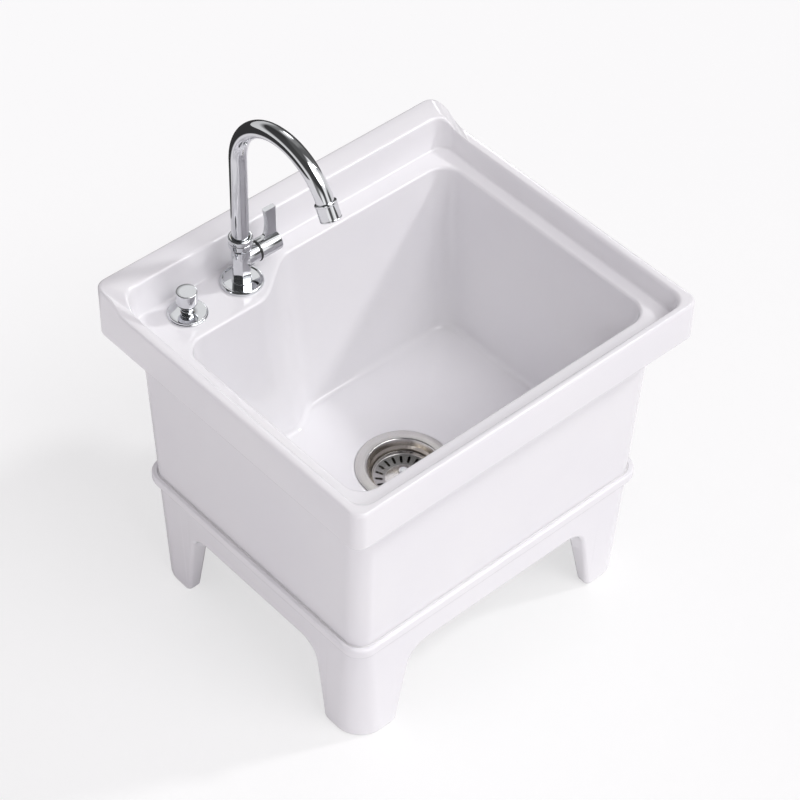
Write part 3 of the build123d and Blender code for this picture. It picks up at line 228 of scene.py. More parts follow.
def outward(loop: Grid, reach: int = 1) -> Grid:
    """Normals of a closed anticlockwise line: its central differences turned a quarter to the right."""
    along = unit(np.roll(loop, -reach, 0) - np.roll(loop, reach, 0))
    return np.stack([along[:, 1], -along[:, 0]], 1)


def inset(loop: Grid, amount: float | Grid) -> Grid:
    """A closed line moved inwards along its normals, by one amount or by one for each point."""
    return loop - np.asarray(amount)[..., None] * outward(loop)


def at_height(loop: Grid, height: float | Grid) -> Grid:
    """A flat line lifted to a height, or to a height for each point, as (points, 3)."""
    return np.column_stack([loop, np.broadcast_to(height, len(loop))])


@dataclass(frozen=True)
class Place:
    """An origin and three directions that carry a shape from its own frame to the sink's."""

    origin: Triple
    x: Triple = (1.0, 0.0, 0.0)
    z: Triple = (0.0, 0.0, 1.0)

    def carry(self, points: Grid) -> Grid:
        """Turns and moves points: origin + x * p0 + y * p1 + z * p2, with y = z cross x."""
        frame = np.array([self.x, np.cross(self.z, self.x), self.z], float)
        return np.asarray(self.origin, float) + points @ frame


@dataclass(frozen=True)
class Skin:
    """A closed surface as a grid of rings. It closes on itself, or ends in poles."""

    points: Grid
    endless: bool = False

    def closed_points(self) -> Grid:
        """The grid with each open end drawn together in a pole at its middle."""
        if self.endless:
            return self.points
        first, last = self.points[:1], self.points[-1:]
        poles = [np.broadcast_to(end.mean(1, keepdims=True), end.shape) for end in (first, last)]
        return np.concatenate([poles[0], self.points, poles[1]])

    def faces(self, start: int) -> tuple[Grid, Grid]:
        """Points and outward four-sided faces.

        Faces join neighbours on two rings. The enclosed volume, the sum of a . (b x c) / 6 over the
        faces' triangles, tells whether they have to be turned round.

        Args:
            start: index of the first point in the mesh.

        Returns:
            The points, (n, 3), and the faces, (m, 4).
        """
        grid = self.closed_points()
        rows, columns = grid.shape[:2]
        flat = grid.reshape(-1, 3)
        row = np.arange(rows if self.endless else rows - 1)[:, None]
        column = np.arange(columns)[None]
        next_row, next_column = (row + 1) % rows, (column + 1) % columns
        quads = np.stack(
            [
                row * columns + column,
                row * columns + next_column,
                next_row * columns + next_column,
                next_row * columns + column,
            ],
            -1,
        ).reshape(-1, 4)
        a, b, c, d = (flat[quads[:, k]] for k in range(4))
        volume = (a * np.cross(b, c)).sum() + (a * np.cross(c, d)).sum()
        if volume < 0:
            quads = quads[:, ::-1]
        return flat, quads + start


def turned(corners: Sequence[Corner], place: Place, points: int = 96, closed: bool = True) -> Skin:
    """A shape turned about its place's Z: a (radius, height) line with softened corners.

    Args:
        corners: radius, height and softening of each corner of the line.
        place: where its axis stands.
        points: columns round the axis.
        closed: True for a ring whose line closes on itself, False where it ends on the axis.

    Returns:
        The closed surface.
    """
    line = np.asarray(corners, float)
    around = circle(1.0, points)
    rings = np.stack([at_height(radius * around, height) for radius, height, _ in line])
    return Skin(place.carry(rounded_rings(rings, line[:, 2], TURNED_STEPS, closed)), closed)


def stacked(rings: Sequence[Grid], radii: Sequence[float], place: Place, closed: bool = False) -> Skin:
    """A shape from flat lines set above each other, with softened corners between them."""
    return Skin(place.carry(rounded_rings(np.stack(rings), radii, STACKED_STEPS, closed)), closed)


def offset_line(line: Grid, amount: float) -> Grid:
    """An open (radius, height) line moved sideways, with mitred corners.

    Each corner moves along the sum of its two runs' normals, by amount over the cosine of half the
    angle between them, so that both runs stay parallel to where they were.

    Args:
        line: corners, (n, 2).
        amount: sideways distance, to the left of the way it runs.
    """
    along = unit(np.diff(line, axis=0))
    normal = np.stack([-along[:, 1], along[:, 0]], 1)
    before = np.concatenate([normal[:1], normal])
    after = np.concatenate([normal, normal[-1:]])
    mitre = unit(before + after)
    return line + mitre * (amount / (mitre * before).sum(1))[:, None]


# Finishes


class NodeMaker:
    """Short ways to add shader nodes to one material or to the world."""

    def __init__(self, name: str, world: bool = False) -> None:
        """Starts an empty material or world.

        Args:
            name: its name.
            world: True for a world, whose places are directions.
        """
        kept, kind, places = bpy.data.materials, "ShaderNodeOutputMaterial", "Object"
        if world:
            kept, kind, places = bpy.data.worlds, "ShaderNodeOutputWorld", "Generated"
        self.material = kept.new(name)
        self.material.use_nodes = True
        self.tree = self.material.node_tree
        self.tree.nodes.clear()
        self.output = self.tree.nodes.new(kind)
        self.where = self.tree.nodes.new("ShaderNodeTexCoord").outputs[places]

    def node(self, kind: str, **inputs: object) -> bpy.types.Node:
        """Adds a node and fills its inputs.

        Args:
            kind: Blender's name of the node's type.
            inputs: a value or a socket for each named input, spaces written as underscores.
        """
        made = self.tree.nodes.new(kind)
        for name, value in inputs.items():
            self.fill(made.inputs[name.replace("_", " ")], value)
        return made

    def noise(
        self, scale: float, detail: float = 2.0, where: Socket | None = None,
        roughness: float = 0.5,
    ) -> Socket:
        """A noise field in metres."""
        made = self.node("ShaderNodeTexNoise", Scale=scale, Detail=detail, Roughness=roughness)
        self.tree.links.new(where or self.where, made.inputs["Vector"])
        return made.outputs["Fac"]

    def spread(self, value: Socket, low: float, high: float, out_low: float, out_high: float) -> Socket:
        """Maps a value's range low..high to out_low..out_high, clamped."""
        made = self.tree.nodes.new("ShaderNodeMapRange")
        self.tree.links.new(value, made.inputs["Value"])
        limits = {"From Min": low, "From Max": high, "To Min": out_low, "To Max": out_high}
        for name, number in limits.items():
            made.inputs[name].default_value = number
        return made.outputs["Result"]

    def ramp(self, value: Socket, stops: Sequence[Stop], start: float, end: float) -> Socket:
        """Grey levels that follow a value, eased between stops.

        Args:
            value: what the levels follow.
            stops: value and level of each stop, in order.
            start: the value at the ramp's start.
            end: the value at its end.
        """
        made = self.node("ShaderNodeValToRGB", Fac=self.spread(value, start, end, 0.0, 1.0))
        made.color_ramp.interpolation = "EASE"
        marks = made.color_ramp.elements
        while len(marks) < len(stops):
            marks.new(0.5)
        for mark, (place, level) in zip(marks, stops):
            mark.position = (place - start) / (end - start)
            mark.color = (level, level, level, 1.0)
        return made.outputs["Color"]

    def blend(self, share: object, first: bpy.types.Node, second: bpy.types.Node) -> bpy.types.Node:
        """A mix of two shaders by a share from 0 to 1."""
        made = self.node("ShaderNodeMixShader", Fac=share)
        self.tree.links.new(first.outputs[0], made.inputs[1])
        self.tree.links.new(second.outputs[0], made.inputs[2])
        return made

    def fill(self, socket: Socket, value: object) -> None:
        """Joins a socket to an input, or sets the input to a value."""
        if isinstance(value, Socket):
            self.tree.links.new(value, socket)
        else:
            socket.default_value = value

    def math(self, kind: str, first: object, second: object = 0.0) -> Socket:
        """One arithmetic step."""
        made = self.tree.nodes.new("ShaderNodeMath")
        made.operation = kind
        self.fill(made.inputs[0], first)
        self.fill(made.inputs[1], second)
        return made.outputs[0]

    def tint(self, share: Socket, first: object, second: object) -> Socket:
        """A mix of two colours by a share from 0 to 1."""
        made = self.tree.nodes.new("ShaderNodeMix")
        made.data_type = "RGBA"
        self.tree.links.new(share, made.inputs["Factor"])
        for name, value in (("A", first), ("B", second)):
            socket = next(s for s in made.inputs if s.name == name and s.type == "RGBA")
            self.fill(socket, (*value, 1.0) if isinstance(value, tuple) else value)
        return next(s for s in made.outputs if s.type == "RGBA")

    def bump(self, height: Socket, distance: float, normal: Socket | None = None) -> Socket:
        """Turns a height field into a normal; distance is its depth in metres."""
        made = self.node("ShaderNodeBump", Distance=distance, Height=height)
        if normal is not None:
            self.tree.links.new(normal, made.inputs["Normal"])
        return made.outputs["Normal"]

    def from_axis(self, x: float, y: float) -> tuple[Socket, Socket]:
        """Distance from an upright axis, in metres, and the height along it."""
        split = self.node("ShaderNodeSeparateXYZ", Vector=self.where)
        across = self.math("SUBTRACT", split.outputs["X"], x * METRES)
        along = self.math("SUBTRACT", split.outputs["Y"], y * METRES)
        squares = (self.math("MULTIPLY", value, value) for value in (across, along))
        return self.math("SQRT", self.math("ADD", *squares)), split.outputs["Z"]

    def nearness(self, towards: Sequence[float]) -> Socket:
        """Cosine between the place's direction and another, 0 where they part by more than 90 degrees."""
        made = self.tree.nodes.new("ShaderNodeVectorMath")
        made.operation = "DOT_PRODUCT"
        self.tree.links.new(self.where, made.inputs[0])
        made.inputs[1].default_value = towards
        return self.math("MAXIMUM", made.outputs["Value"], 0.0)

    def height(self) -> Socket:
        """Height above the floor, in metres."""
        return self.node("ShaderNodeSeparateXYZ", Vector=self.where).outputs["Z"]

    def finish(self, shader: bpy.types.Node) -> bpy.types.Material:
        """Joins the shader to the output and returns the material."""
        self.tree.links.new(shader.outputs[0], self.output.inputs["Surface"])
        return self.material


@dataclass(frozen=True)
class Glaze:
    """Thick white sanitary glaze, bare clay on the faces that stood in the kiln."""

    light: Colour = (0.882, 0.877, 0.892)
    deep: Colour = (0.857, 0.851, 0.875)
    clay: Colour = (0.66, 0.63, 0.58)

    def material(self) -> bpy.types.Material:
        """Clouded white under a clear coat, with a faint orange-peel ripple and few pinholes."""
        maker = NodeMaker("glaze")
        cloud = maker.spread(maker.noise(5.0, 3.0), 0.35, 0.65, 0.0, 1.0)
        white = maker.tint(cloud, self.light, self.deep)
        fired = maker.spread(maker.noise(240.0, 2.0), 0.4, 0.6, 0.9, 1.0)
        clay = maker.tint(fired, tuple(0.92 * c for c in self.clay), self.clay)
        bare = maker.spread(maker.height(), 0.0009, 0.0016, 1.0, 0.0)
        colour = maker.tint(bare, white, clay)
        smooth = maker.spread(maker.noise(14.0, 3.0), 0.35, 0.7, 0.045, 0.085)
        rough = maker.math("ADD", smooth, maker.math("MULTIPLY", bare, 0.6))
        ripple = maker.bump(maker.noise(38.0, 1.5), 0.00006)
        normal = maker.bump(maker.noise(170.0, 1.0), 0.000006, normal=ripple)
        shader = maker.node(
            "ShaderNodeBsdfPrincipled", Base_Color=colour, Roughness=rough, Normal=normal, IOR=1.52
        )
        return maker.finish(shader)


@dataclass(frozen=True)
class Chrome:
    """Bright plated metal with the faintest wipe marks and dried drops."""

    colour: Colour = (0.71, 0.72, 0.74)

    def material(self) -> bpy.types.Material:
        """Mirror metal; smears and drop marks only change its roughness."""
        maker = NodeMaker("chrome")
        smear = maker.spread(maker.noise(60.0, 4.0, roughness=0.6), 0.45, 0.75, 0.035, 0.09)
        drops = maker.node("ShaderNodeTexVoronoi", Scale=210.0)
        maker.tree.links.new(maker.where, drops.inputs["Vector"])
        mark = maker.spread(drops.outputs["Distance"], 0.1, 0.14, 0.05, 0.0)
        rough = maker.math("ADD", smear, mark)
        cloud = maker.spread(maker.noise(45.0, 2.0), 0.3, 0.7, 0.0, 1.0)
        tone = maker.tint(cloud, tuple(0.95 * c for c in self.colour), self.colour)
        normal = maker.bump(maker.noise(150.0, 1.0), 0.000004)
        shader = maker.node(
            "ShaderNodeBsdfPrincipled", Base_Color=tone, Metallic=1.0, Roughness=rough, Normal=normal
        )
        return maker.finish(shader)


@dataclass(frozen=True)
class BrushedSteel:
    """Stainless sheet, spun and brushed in rings about the drain's axis."""

    colour: Colour = (0.77, 0.755, 0.745)
    # Colour of the painted shade on the cup's inner wall: a dark brown that stands in for the shade inside
    # the cup.
    painted_cup_shade: Colour = (0.40, 0.36, 0.31)
    x: float = 0.0
    y: float = -18.0

    def material(self) -> bpy.types.Material:
        """Ring-shaped brush lines, and painted shade in dark brown on the cup's inner wall."""
        maker = NodeMaker("brushed_steel")
        radius, height = maker.from_axis(self.x, self.y)
        rings = maker.node("ShaderNodeCombineXYZ", X=radius, Y=height)
        fine = maker.noise(1900.0, 2.0, rings.outputs[0], 0.7)
        broad = maker.noise(260.0, 2.0, rings.outputs[0])
        wear = maker.noise(32.0, 3.0)
        tone = maker.tint(
            maker.spread(fine, 0.3, 0.7, 0.0, 1.0), tuple(0.82 * c for c in self.colour), self.colour
        )
        tone = maker.tint(maker.spread(wear, 0.4, 0.75, 0.0, 0.35), tone, (0.62, 0.585, 0.54))
        # Painted shade: the cup's inner wall below the flange is tinted dark brown, where shade falls inside
        # the cup.
        wall = maker.spread(radius, 0.0360, 0.0375, 0.0, 0.8)
        below = maker.spread(height, 0.1835, 0.1868, 1.0, 0.0)
        tone = maker.tint(maker.math("MULTIPLY", wall, below), tone, self.painted_cup_shade)
        satin = maker.spread(fine, 0.25, 0.75, 0.14, 0.24)
        rough = maker.math("ADD", satin, maker.spread(broad, 0.4, 0.7, 0.0, 0.08))
        normal = maker.bump(fine, 0.000012)
        shader = maker.node(
            "ShaderNodeBsdfPrincipled", Base_Color=tone, Metallic=1.0, Roughness=rough, Normal=normal
        )
        return maker.finish(shader)


@dataclass(frozen=True)
class PlainMetal:
    """Machined brass or zinc-plated steel of the hidden fixings."""

    name: str
    colour: Colour
    dull: Colour

    def material(self) -> bpy.types.Material:
        """Tarnish clouds over fine machining lines along the height."""
        maker = NodeMaker(self.name)
        cloud = maker.spread(maker.noise(85.0, 4.0), 0.35, 0.7, 0.0, 1.0)
        tone = maker.tint(cloud, self.colour, self.dull)
        lines = maker.node("ShaderNodeCombineXYZ", Z=maker.height())
        cut = maker.noise(1400.0, 1.0, lines.outputs[0])
        rough = maker.spread(cloud, 0.0, 1.0, 0.24, 0.42)
        shader = maker.node(
            "ShaderNodeBsdfPrincipled", Base_Color=tone, Metallic=1.0, Roughness=rough,
            Normal=maker.bump(cut, 0.00002),
        )
        return maker.finish(shader)


@dataclass(frozen=True)
class Moulded:
    """Moulded rubber, plastic or sealant."""

    name: str
    colour: Colour
    other: Colour
    roughness: float
    grain: float = 700.0
    depth: float = 0.00002

    def material(self) -> bpy.types.Material:
        """Slight colour clouds under a fine moulded grain."""
        maker = NodeMaker(self.name)
        cloud = maker.spread(maker.noise(50.0, 3.0), 0.35, 0.7, 0.0, 1.0)
        tone = maker.tint(cloud, self.colour, self.other)
        grain = maker.noise(self.grain, 2.0)
        rough = maker.spread(grain, 0.3, 0.7, self.roughness - 0.06, self.roughness + 0.06)
        shader = maker.node(
            "ShaderNodeBsdfPrincipled", Base_Color=tone, Roughness=rough,
            Normal=maker.bump(grain, self.depth),
        )
        return maker.finish(shader)


class Finishes:
    """Every finish of the sink, made once and kept by its record slot."""

    def __init__(self) -> None:
        """Makes one material for each slot."""
        finishes = {
            Slot.GLAZE: Glaze(),
            Slot.CHROME: Chrome(),
            Slot.BRUSHED_STEEL: BrushedSteel(),
            Slot.BRASS: PlainMetal("brass", (0.72, 0.53, 0.25), (0.50, 0.36, 0.17)),
            Slot.ZINC_STEEL: PlainMetal("zinc_steel", (0.60, 0.61, 0.62), (0.46, 0.46, 0.45)),
            Slot.SEALANT: Moulded("sealant", (0.84, 0.835, 0.84), (0.79, 0.785, 0.785), 0.36),
            Slot.BLACK_RUBBER: Moulded("black_rubber", (0.022, 0.022, 0.023), (0.035, 0.034, 0.034), 0.62),
            Slot.BLACK_PLASTIC: Moulded("black_plastic", (0.018, 0.018, 0.019), (0.026, 0.026, 0.027), 0.36),
            Slot.WHITE_PLASTIC: Moulded("white_plastic", (0.74, 0.74, 0.73), (0.69, 0.69, 0.67), 0.34),
        }
        self.kept = {slot: finish.material() for slot, finish in finishes.items()}

    def of(self, slot: Slot) -> bpy.types.Material:
        """The material of a slot."""
        return self.kept[slot]

    def dress_nodes(self, frame: dict) -> None:
        """Gives every CAD node its slot's finish.
        """
        slot_of = {part["node"]: Slot(part["material_slot"]) for part in frame["record"]["subparts"]}
        for name, node in frame["nodes"].items():
            node.data.materials.clear()
            node.data.materials.append(self.of(slot_of[name]))


@dataclass
class Workshop:
    """Turns closed surfaces into pieces that ride on a body and stand for CAD nodes."""

    finishes: Finishes
    crease: float = 32.0

    def mesh(self, name: str, skins: Sequence[Skin]) -> bpy.types.Mesh:
        """One mesh from closed surfaces, with poles closed and doubled points merged.

        Args:
            name: the mesh's name.
            skins: its surfaces.
        """
        points: list[Grid] = []
        faces: list[Grid] = []
        start = 0
        for skin in skins:
            flat, quads = skin.faces(start)
            points.append(flat)
            faces.append(quads)
            start += len(flat)
        mesh = bpy.data.meshes.new(name)
        mesh.from_pydata(np.concatenate(points) * METRES, [], np.concatenate(faces).tolist())
        clean = bmesh.new()
        clean.from_mesh(mesh)
        bmesh.ops.remove_doubles(clean, verts=clean.verts, dist=1e-6)
        bmesh.ops.dissolve_degenerate(clean, edges=clean.edges, dist=1e-7)
        clean.to_mesh(mesh)
        clean.free()
        return mesh

    def soften(self, mesh: bpy.types.Mesh) -> None:
        """Smooth shading, with edges past the crease angle kept crisp."""
        mesh.polygons.foreach_set("use_smooth", np.ones(len(mesh.polygons), bool))
        mesh.set_sharp_from_angle(angle=math.radians(self.crease))

    def combine(self, piece: bpy.types.Object, skins: Sequence[Skin], operation: str) -> None:
        """Joins closed surfaces to a piece, or takes them out of it.

        Args:
            piece: the piece to change.
            skins: the shapes to join, or the spaces to take out.
            operation: UNION or DIFFERENCE.
        """
        tool = bpy.data.objects.new("tool", self.mesh("tool", skins))
        bpy.context.scene.collection.objects.link(tool)
        modifier = piece.modifiers.new("combine", "BOOLEAN")
        modifier.object = tool
        modifier.operation = operation
        modifier.solver = "MANIFOLD"
        graph = bpy.context.evaluated_depsgraph_get()
        result = bpy.data.meshes.new_from_object(piece.evaluated_get(graph))
        piece.modifiers.clear()
        old = piece.data
        piece.data = result
        result.name = piece.name
        bpy.data.meshes.remove(old)
        bpy.data.objects.remove(tool)
        self.soften(result)

    def piece(self, name: str, skins: Sequence[Skin], slot: Slot, body: Body, nodes: Sequence[str],
              holes: Sequence[Skin] = ()) -> None:
        """One finished piece.

        Args:
            name: the piece's name.
            skins: its closed surfaces, joined where they meet.
            slot: where its finish comes from.
            body: the CAD body it rides on.
            nodes: the CAD nodes it stands for.
            holes: closed surfaces to cut out of it.
        """
        made = bpy.data.objects.new(name, self.mesh(name, skins[:1]))
        bpy.context.scene.collection.objects.link(made)
        for skin in skins[1:]:
            self.combine(made, [skin], "UNION")
        if holes:
            self.combine(made, holes, "DIFFERENCE")
        self.soften(made.data)
        made.data.materials.clear()
        made.data.materials.append(self.finishes.of(slot))
        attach(made, body.value)
        if nodes:
            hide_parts(*nodes)
        log.info("%s: %d faces on %s", name, len(made.data.polygons), body.value)

    def turn(
        self, name: str, corners: Sequence[Corner], place: Place, body: Body, node: str,
        slot: Slot = Slot.CHROME, closed: bool = True,
    ) -> None:
        """One piece turned about its place's Z, as turned() and piece() describe it."""
        self.piece(name, [turned(corners, place, closed=closed)], slot, body, [node])


# Sub-assemblies


@dataclass
class Basin:
    """The ceramic basin: rim with an upstand at the back, deck, deep bowl and drain seat."""

    rim: Pair = (500.0, 440.0)
    rim_height: float = 445.0
    rim_foot: float = 391.0
    rim_corner: float = 14.0
    crest_rise: float = 16.0
    crest_y: float = 204.0
    crest_run: float = 34.0
    crest_shear: float = 24.0
    crest_inner: float = 228.0
    crest_lean: float = 1.3
    deck: float = 421.0
    deck_under: float = 407.0
    recess_half: float = 232.0
    recess_y: Pair = (-206.0, 179.0)
    recess_corner: float = 16.0
    draft: float = 11.3
    bowl_half: float = 213.0
    bowl_y: Triple = (-181.0, 111.0, 154.0)
    sweep_x: Pair = (-105.0, -25.0)
    floor_half: float = 198.0
    floor_y: Triple = (-167.0, 103.0, 126.0)
    floor_sweep_x: Pair = (-64.0, -16.0)
    bowl_corner: float = 26.0
    floor: float = 192.0
    drain_rim: float = 187.0
    drain_seat: float = 185.6
    under: float = 172.0
    foot: float = 167.0
    drain_y: float = -18.0
    drain_hole: float = 47.0
    drain_flange: float = 58.0
    fall_start: float = 101.0
    fall_round: float = 120.0
    floor_edge: float = 17.0
    pad: Triple = (300.0, 230.0, 20.0)
    deck_edge: Pair = (6.0, 8.0)
    wall: float = 12.0
    deck_hole: float = 14.0
    deck_holes: tuple[Pair, ...] = ((-98.0, 150.2), (-176.0, 149.0))
    body_top: Pair = (444.0, 382.0)
    body_foot: Pair = (430.0, 367.0)
    body_corner: float = 22.0
    along: tuple[int, int] = (118, 138)
    turn: int = 16

    def loop(self, width: float, depth: float, corner: float, y: float = 0.0) -> Grid:
        """A rounded rectangle with the basin's own columns."""
        return rounded_rectangle(width, depth, corner, even_shares(self.along), self.turn, y)

    def bowl_loop(self, half: float, ys: Triple, sweep: Pair) -> Grid:
        """Closed line of the bowl with the basin's own columns.

        It is a rounded rectangle to the narrow deck's edge, whose back side then moves forward: the
        shift goes from none at the sweep's right end to all at its left end by 3t^2 - 2t^3.

        Args:
            half: half its width.
            ys: its front, its back at the wide deck and its back at the narrow deck.
            sweep: where the back line starts and ends its sweep.
        """
        front, wide, narrow = ys
        loop = self.loop(2 * half, narrow - front, self.bowl_corner, (narrow + front) / 2)
        share = np.clip((sweep[1] - loop[:, 0]) / (sweep[1] - sweep[0]), 0, 1)
        ease = share * share * (3 - 2 * share)
        middle = (front + narrow) / 2
        back = np.clip((loop[:, 1] - middle) / (narrow - self.bowl_corner - middle), 0, 1)
        loop[:, 1] -= (narrow - wide) * ease * back
        return loop

    def crest(self, loop: Grid) -> Grid:
        """Height of the rim's top at each point of a line.

        The rise towards the back is crest_rise times 3t^2 - 2t^3, where t runs over crest_run along Y,
        and starts crest_shear sooner at the recess than at the outside.
        """
        half = self.rim[0] / 2
        lean = np.clip((half - np.abs(loop[:, 0])) / (half - self.crest_inner), 0, self.crest_lean)
        start = self.crest_y - self.crest_run - self.crest_shear * lean
        share = np.clip((loop[:, 1] - start) / self.crest_run, 0, 1)
        return self.rim_height + self.crest_rise * share * share * (3 - 2 * share)

    def recess_loop(self, height: Grid | float) -> Grid:
        """The recess's wall at a height: its foot line moved outwards by height times its draft."""
        front, back = self.recess_y
        foot = self.loop(2 * self.recess_half, back - front, self.recess_corner, (front + back) / 2)
        return inset(foot, (self.deck - np.asarray(height)) * math.tan(math.radians(self.draft)))

    def skin(self) -> Skin:
        """The whole casting as one endless stack of rings.

        It starts at the drain hole's foot, runs under the floor to the foot ring, up the outside, over
        the rim, down the recess, across the deck, down the bowl, over the floor and back down the hole.
        """
        front, back = self.recess_y
        outer = self.loop(*self.rim, self.rim_corner)
        inner = self.recess_loop(self.rim_height)
        inner_top = self.crest(inner)
        inner = self.recess_loop(inner_top)
        recess_foot = self.recess_loop(self.deck)
        bowl = self.bowl_loop(self.bowl_half, self.bowl_y, self.sweep_x)
        bowl_foot = self.bowl_loop(self.floor_half, self.floor_y, self.floor_sweep_x)
        floor_edge = inset(bowl_foot, self.floor_edge)
        spoke = floor_edge - [0.0, self.drain_y]
        angle = np.arctan2(spoke[:, 1], spoke[:, 0])
        around = np.stack([np.cos(angle), np.sin(angle)], 1)
        centre = np.array([0.0, self.drain_y])
        pad = self.loop(*self.pad, self.drain_y)
        hole, flange, fall = (
            centre + radius * around for radius in (self.drain_hole, self.drain_flange, self.fall_start)
        )
        steps = (
            (at_height(hole, self.under), 0),
            (at_height(pad, self.under), 2.0),
            (at_height(pad, self.foot), 0),
            (at_height(self.loop(*self.body_foot, self.body_corner), self.foot), 1.2),
            (at_height(self.loop(*self.body_top, self.body_corner), self.rim_foot), 4.0),
            (at_height(outer, self.rim_foot), 3.0),
            (at_height(outer, self.crest(outer)), 5.5),
            (at_height(inner, inner_top), 6.0),
            (at_height(recess_foot, self.deck), 5.0),
            (at_height(inset(recess_foot, self.deck_edge[0]), self.deck), 0),
            (at_height(inset(bowl, -self.deck_edge[1]), self.deck), 0),
            (at_height(bowl, self.deck), 6.0),
            (at_height(bowl_foot, self.floor), 16.0),
            (at_height(floor_edge, self.floor), 0),
            (at_height(fall, self.floor), self.fall_round),
            (at_height(flange, self.drain_rim), 0.6),
            (at_height(flange, self.drain_seat), 0),
            (at_height(hole, self.drain_seat), 0),
        )
        rings = np.stack([ring for ring, _ in steps])
        return Skin(rounded_rings(rings, [radius for _, radius in steps], 8, True), True)

    def service_space(self) -> list[Skin]:
        """The space behind the bowl and the two deck holes, to be cut out."""
        beyond = 4.0
        levels = (
            (self.foot - beyond, self.body_foot, self.floor_y, self.floor_sweep_x),
            (self.foot, self.body_foot, self.floor_y, self.floor_sweep_x),
            (self.deck_under, self.body_top, self.bowl_y, self.sweep_x),
        )
        rings = []
        for height, body, ys, sweep in levels:
            half, back = body[0] / 2 - self.wall, body[1] / 2 - self.wall
            x = np.linspace(-half, half, 90)
            share = np.clip((sweep[1] - x) / (sweep[1] - sweep[0]), 0, 1)
            y = ys[2] + self.wall - (ys[2] - ys[1]) * share * share * (3 - 2 * share)
            near = np.stack([x, y], 1)
            far = np.stack([x[::-1], np.full(90, back)], 1)
            rings.append(at_height(np.concatenate([near, far]), height))
        spaces = [Skin(np.stack(rings))]
        for at in self.deck_holes:
            hole = circle(self.deck_hole, 48) + at
            ends = (self.deck_under - beyond, self.deck + beyond)
            spaces.append(Skin(np.stack([at_height(hole, end) for end in ends])))
        return spaces

    def make(self, shop: Workshop) -> None:
        """Builds the basin."""
        shop.piece("basin_casting", [self.skin()], Slot.GLAZE, Body.SINK, ["basin"], self.service_space())


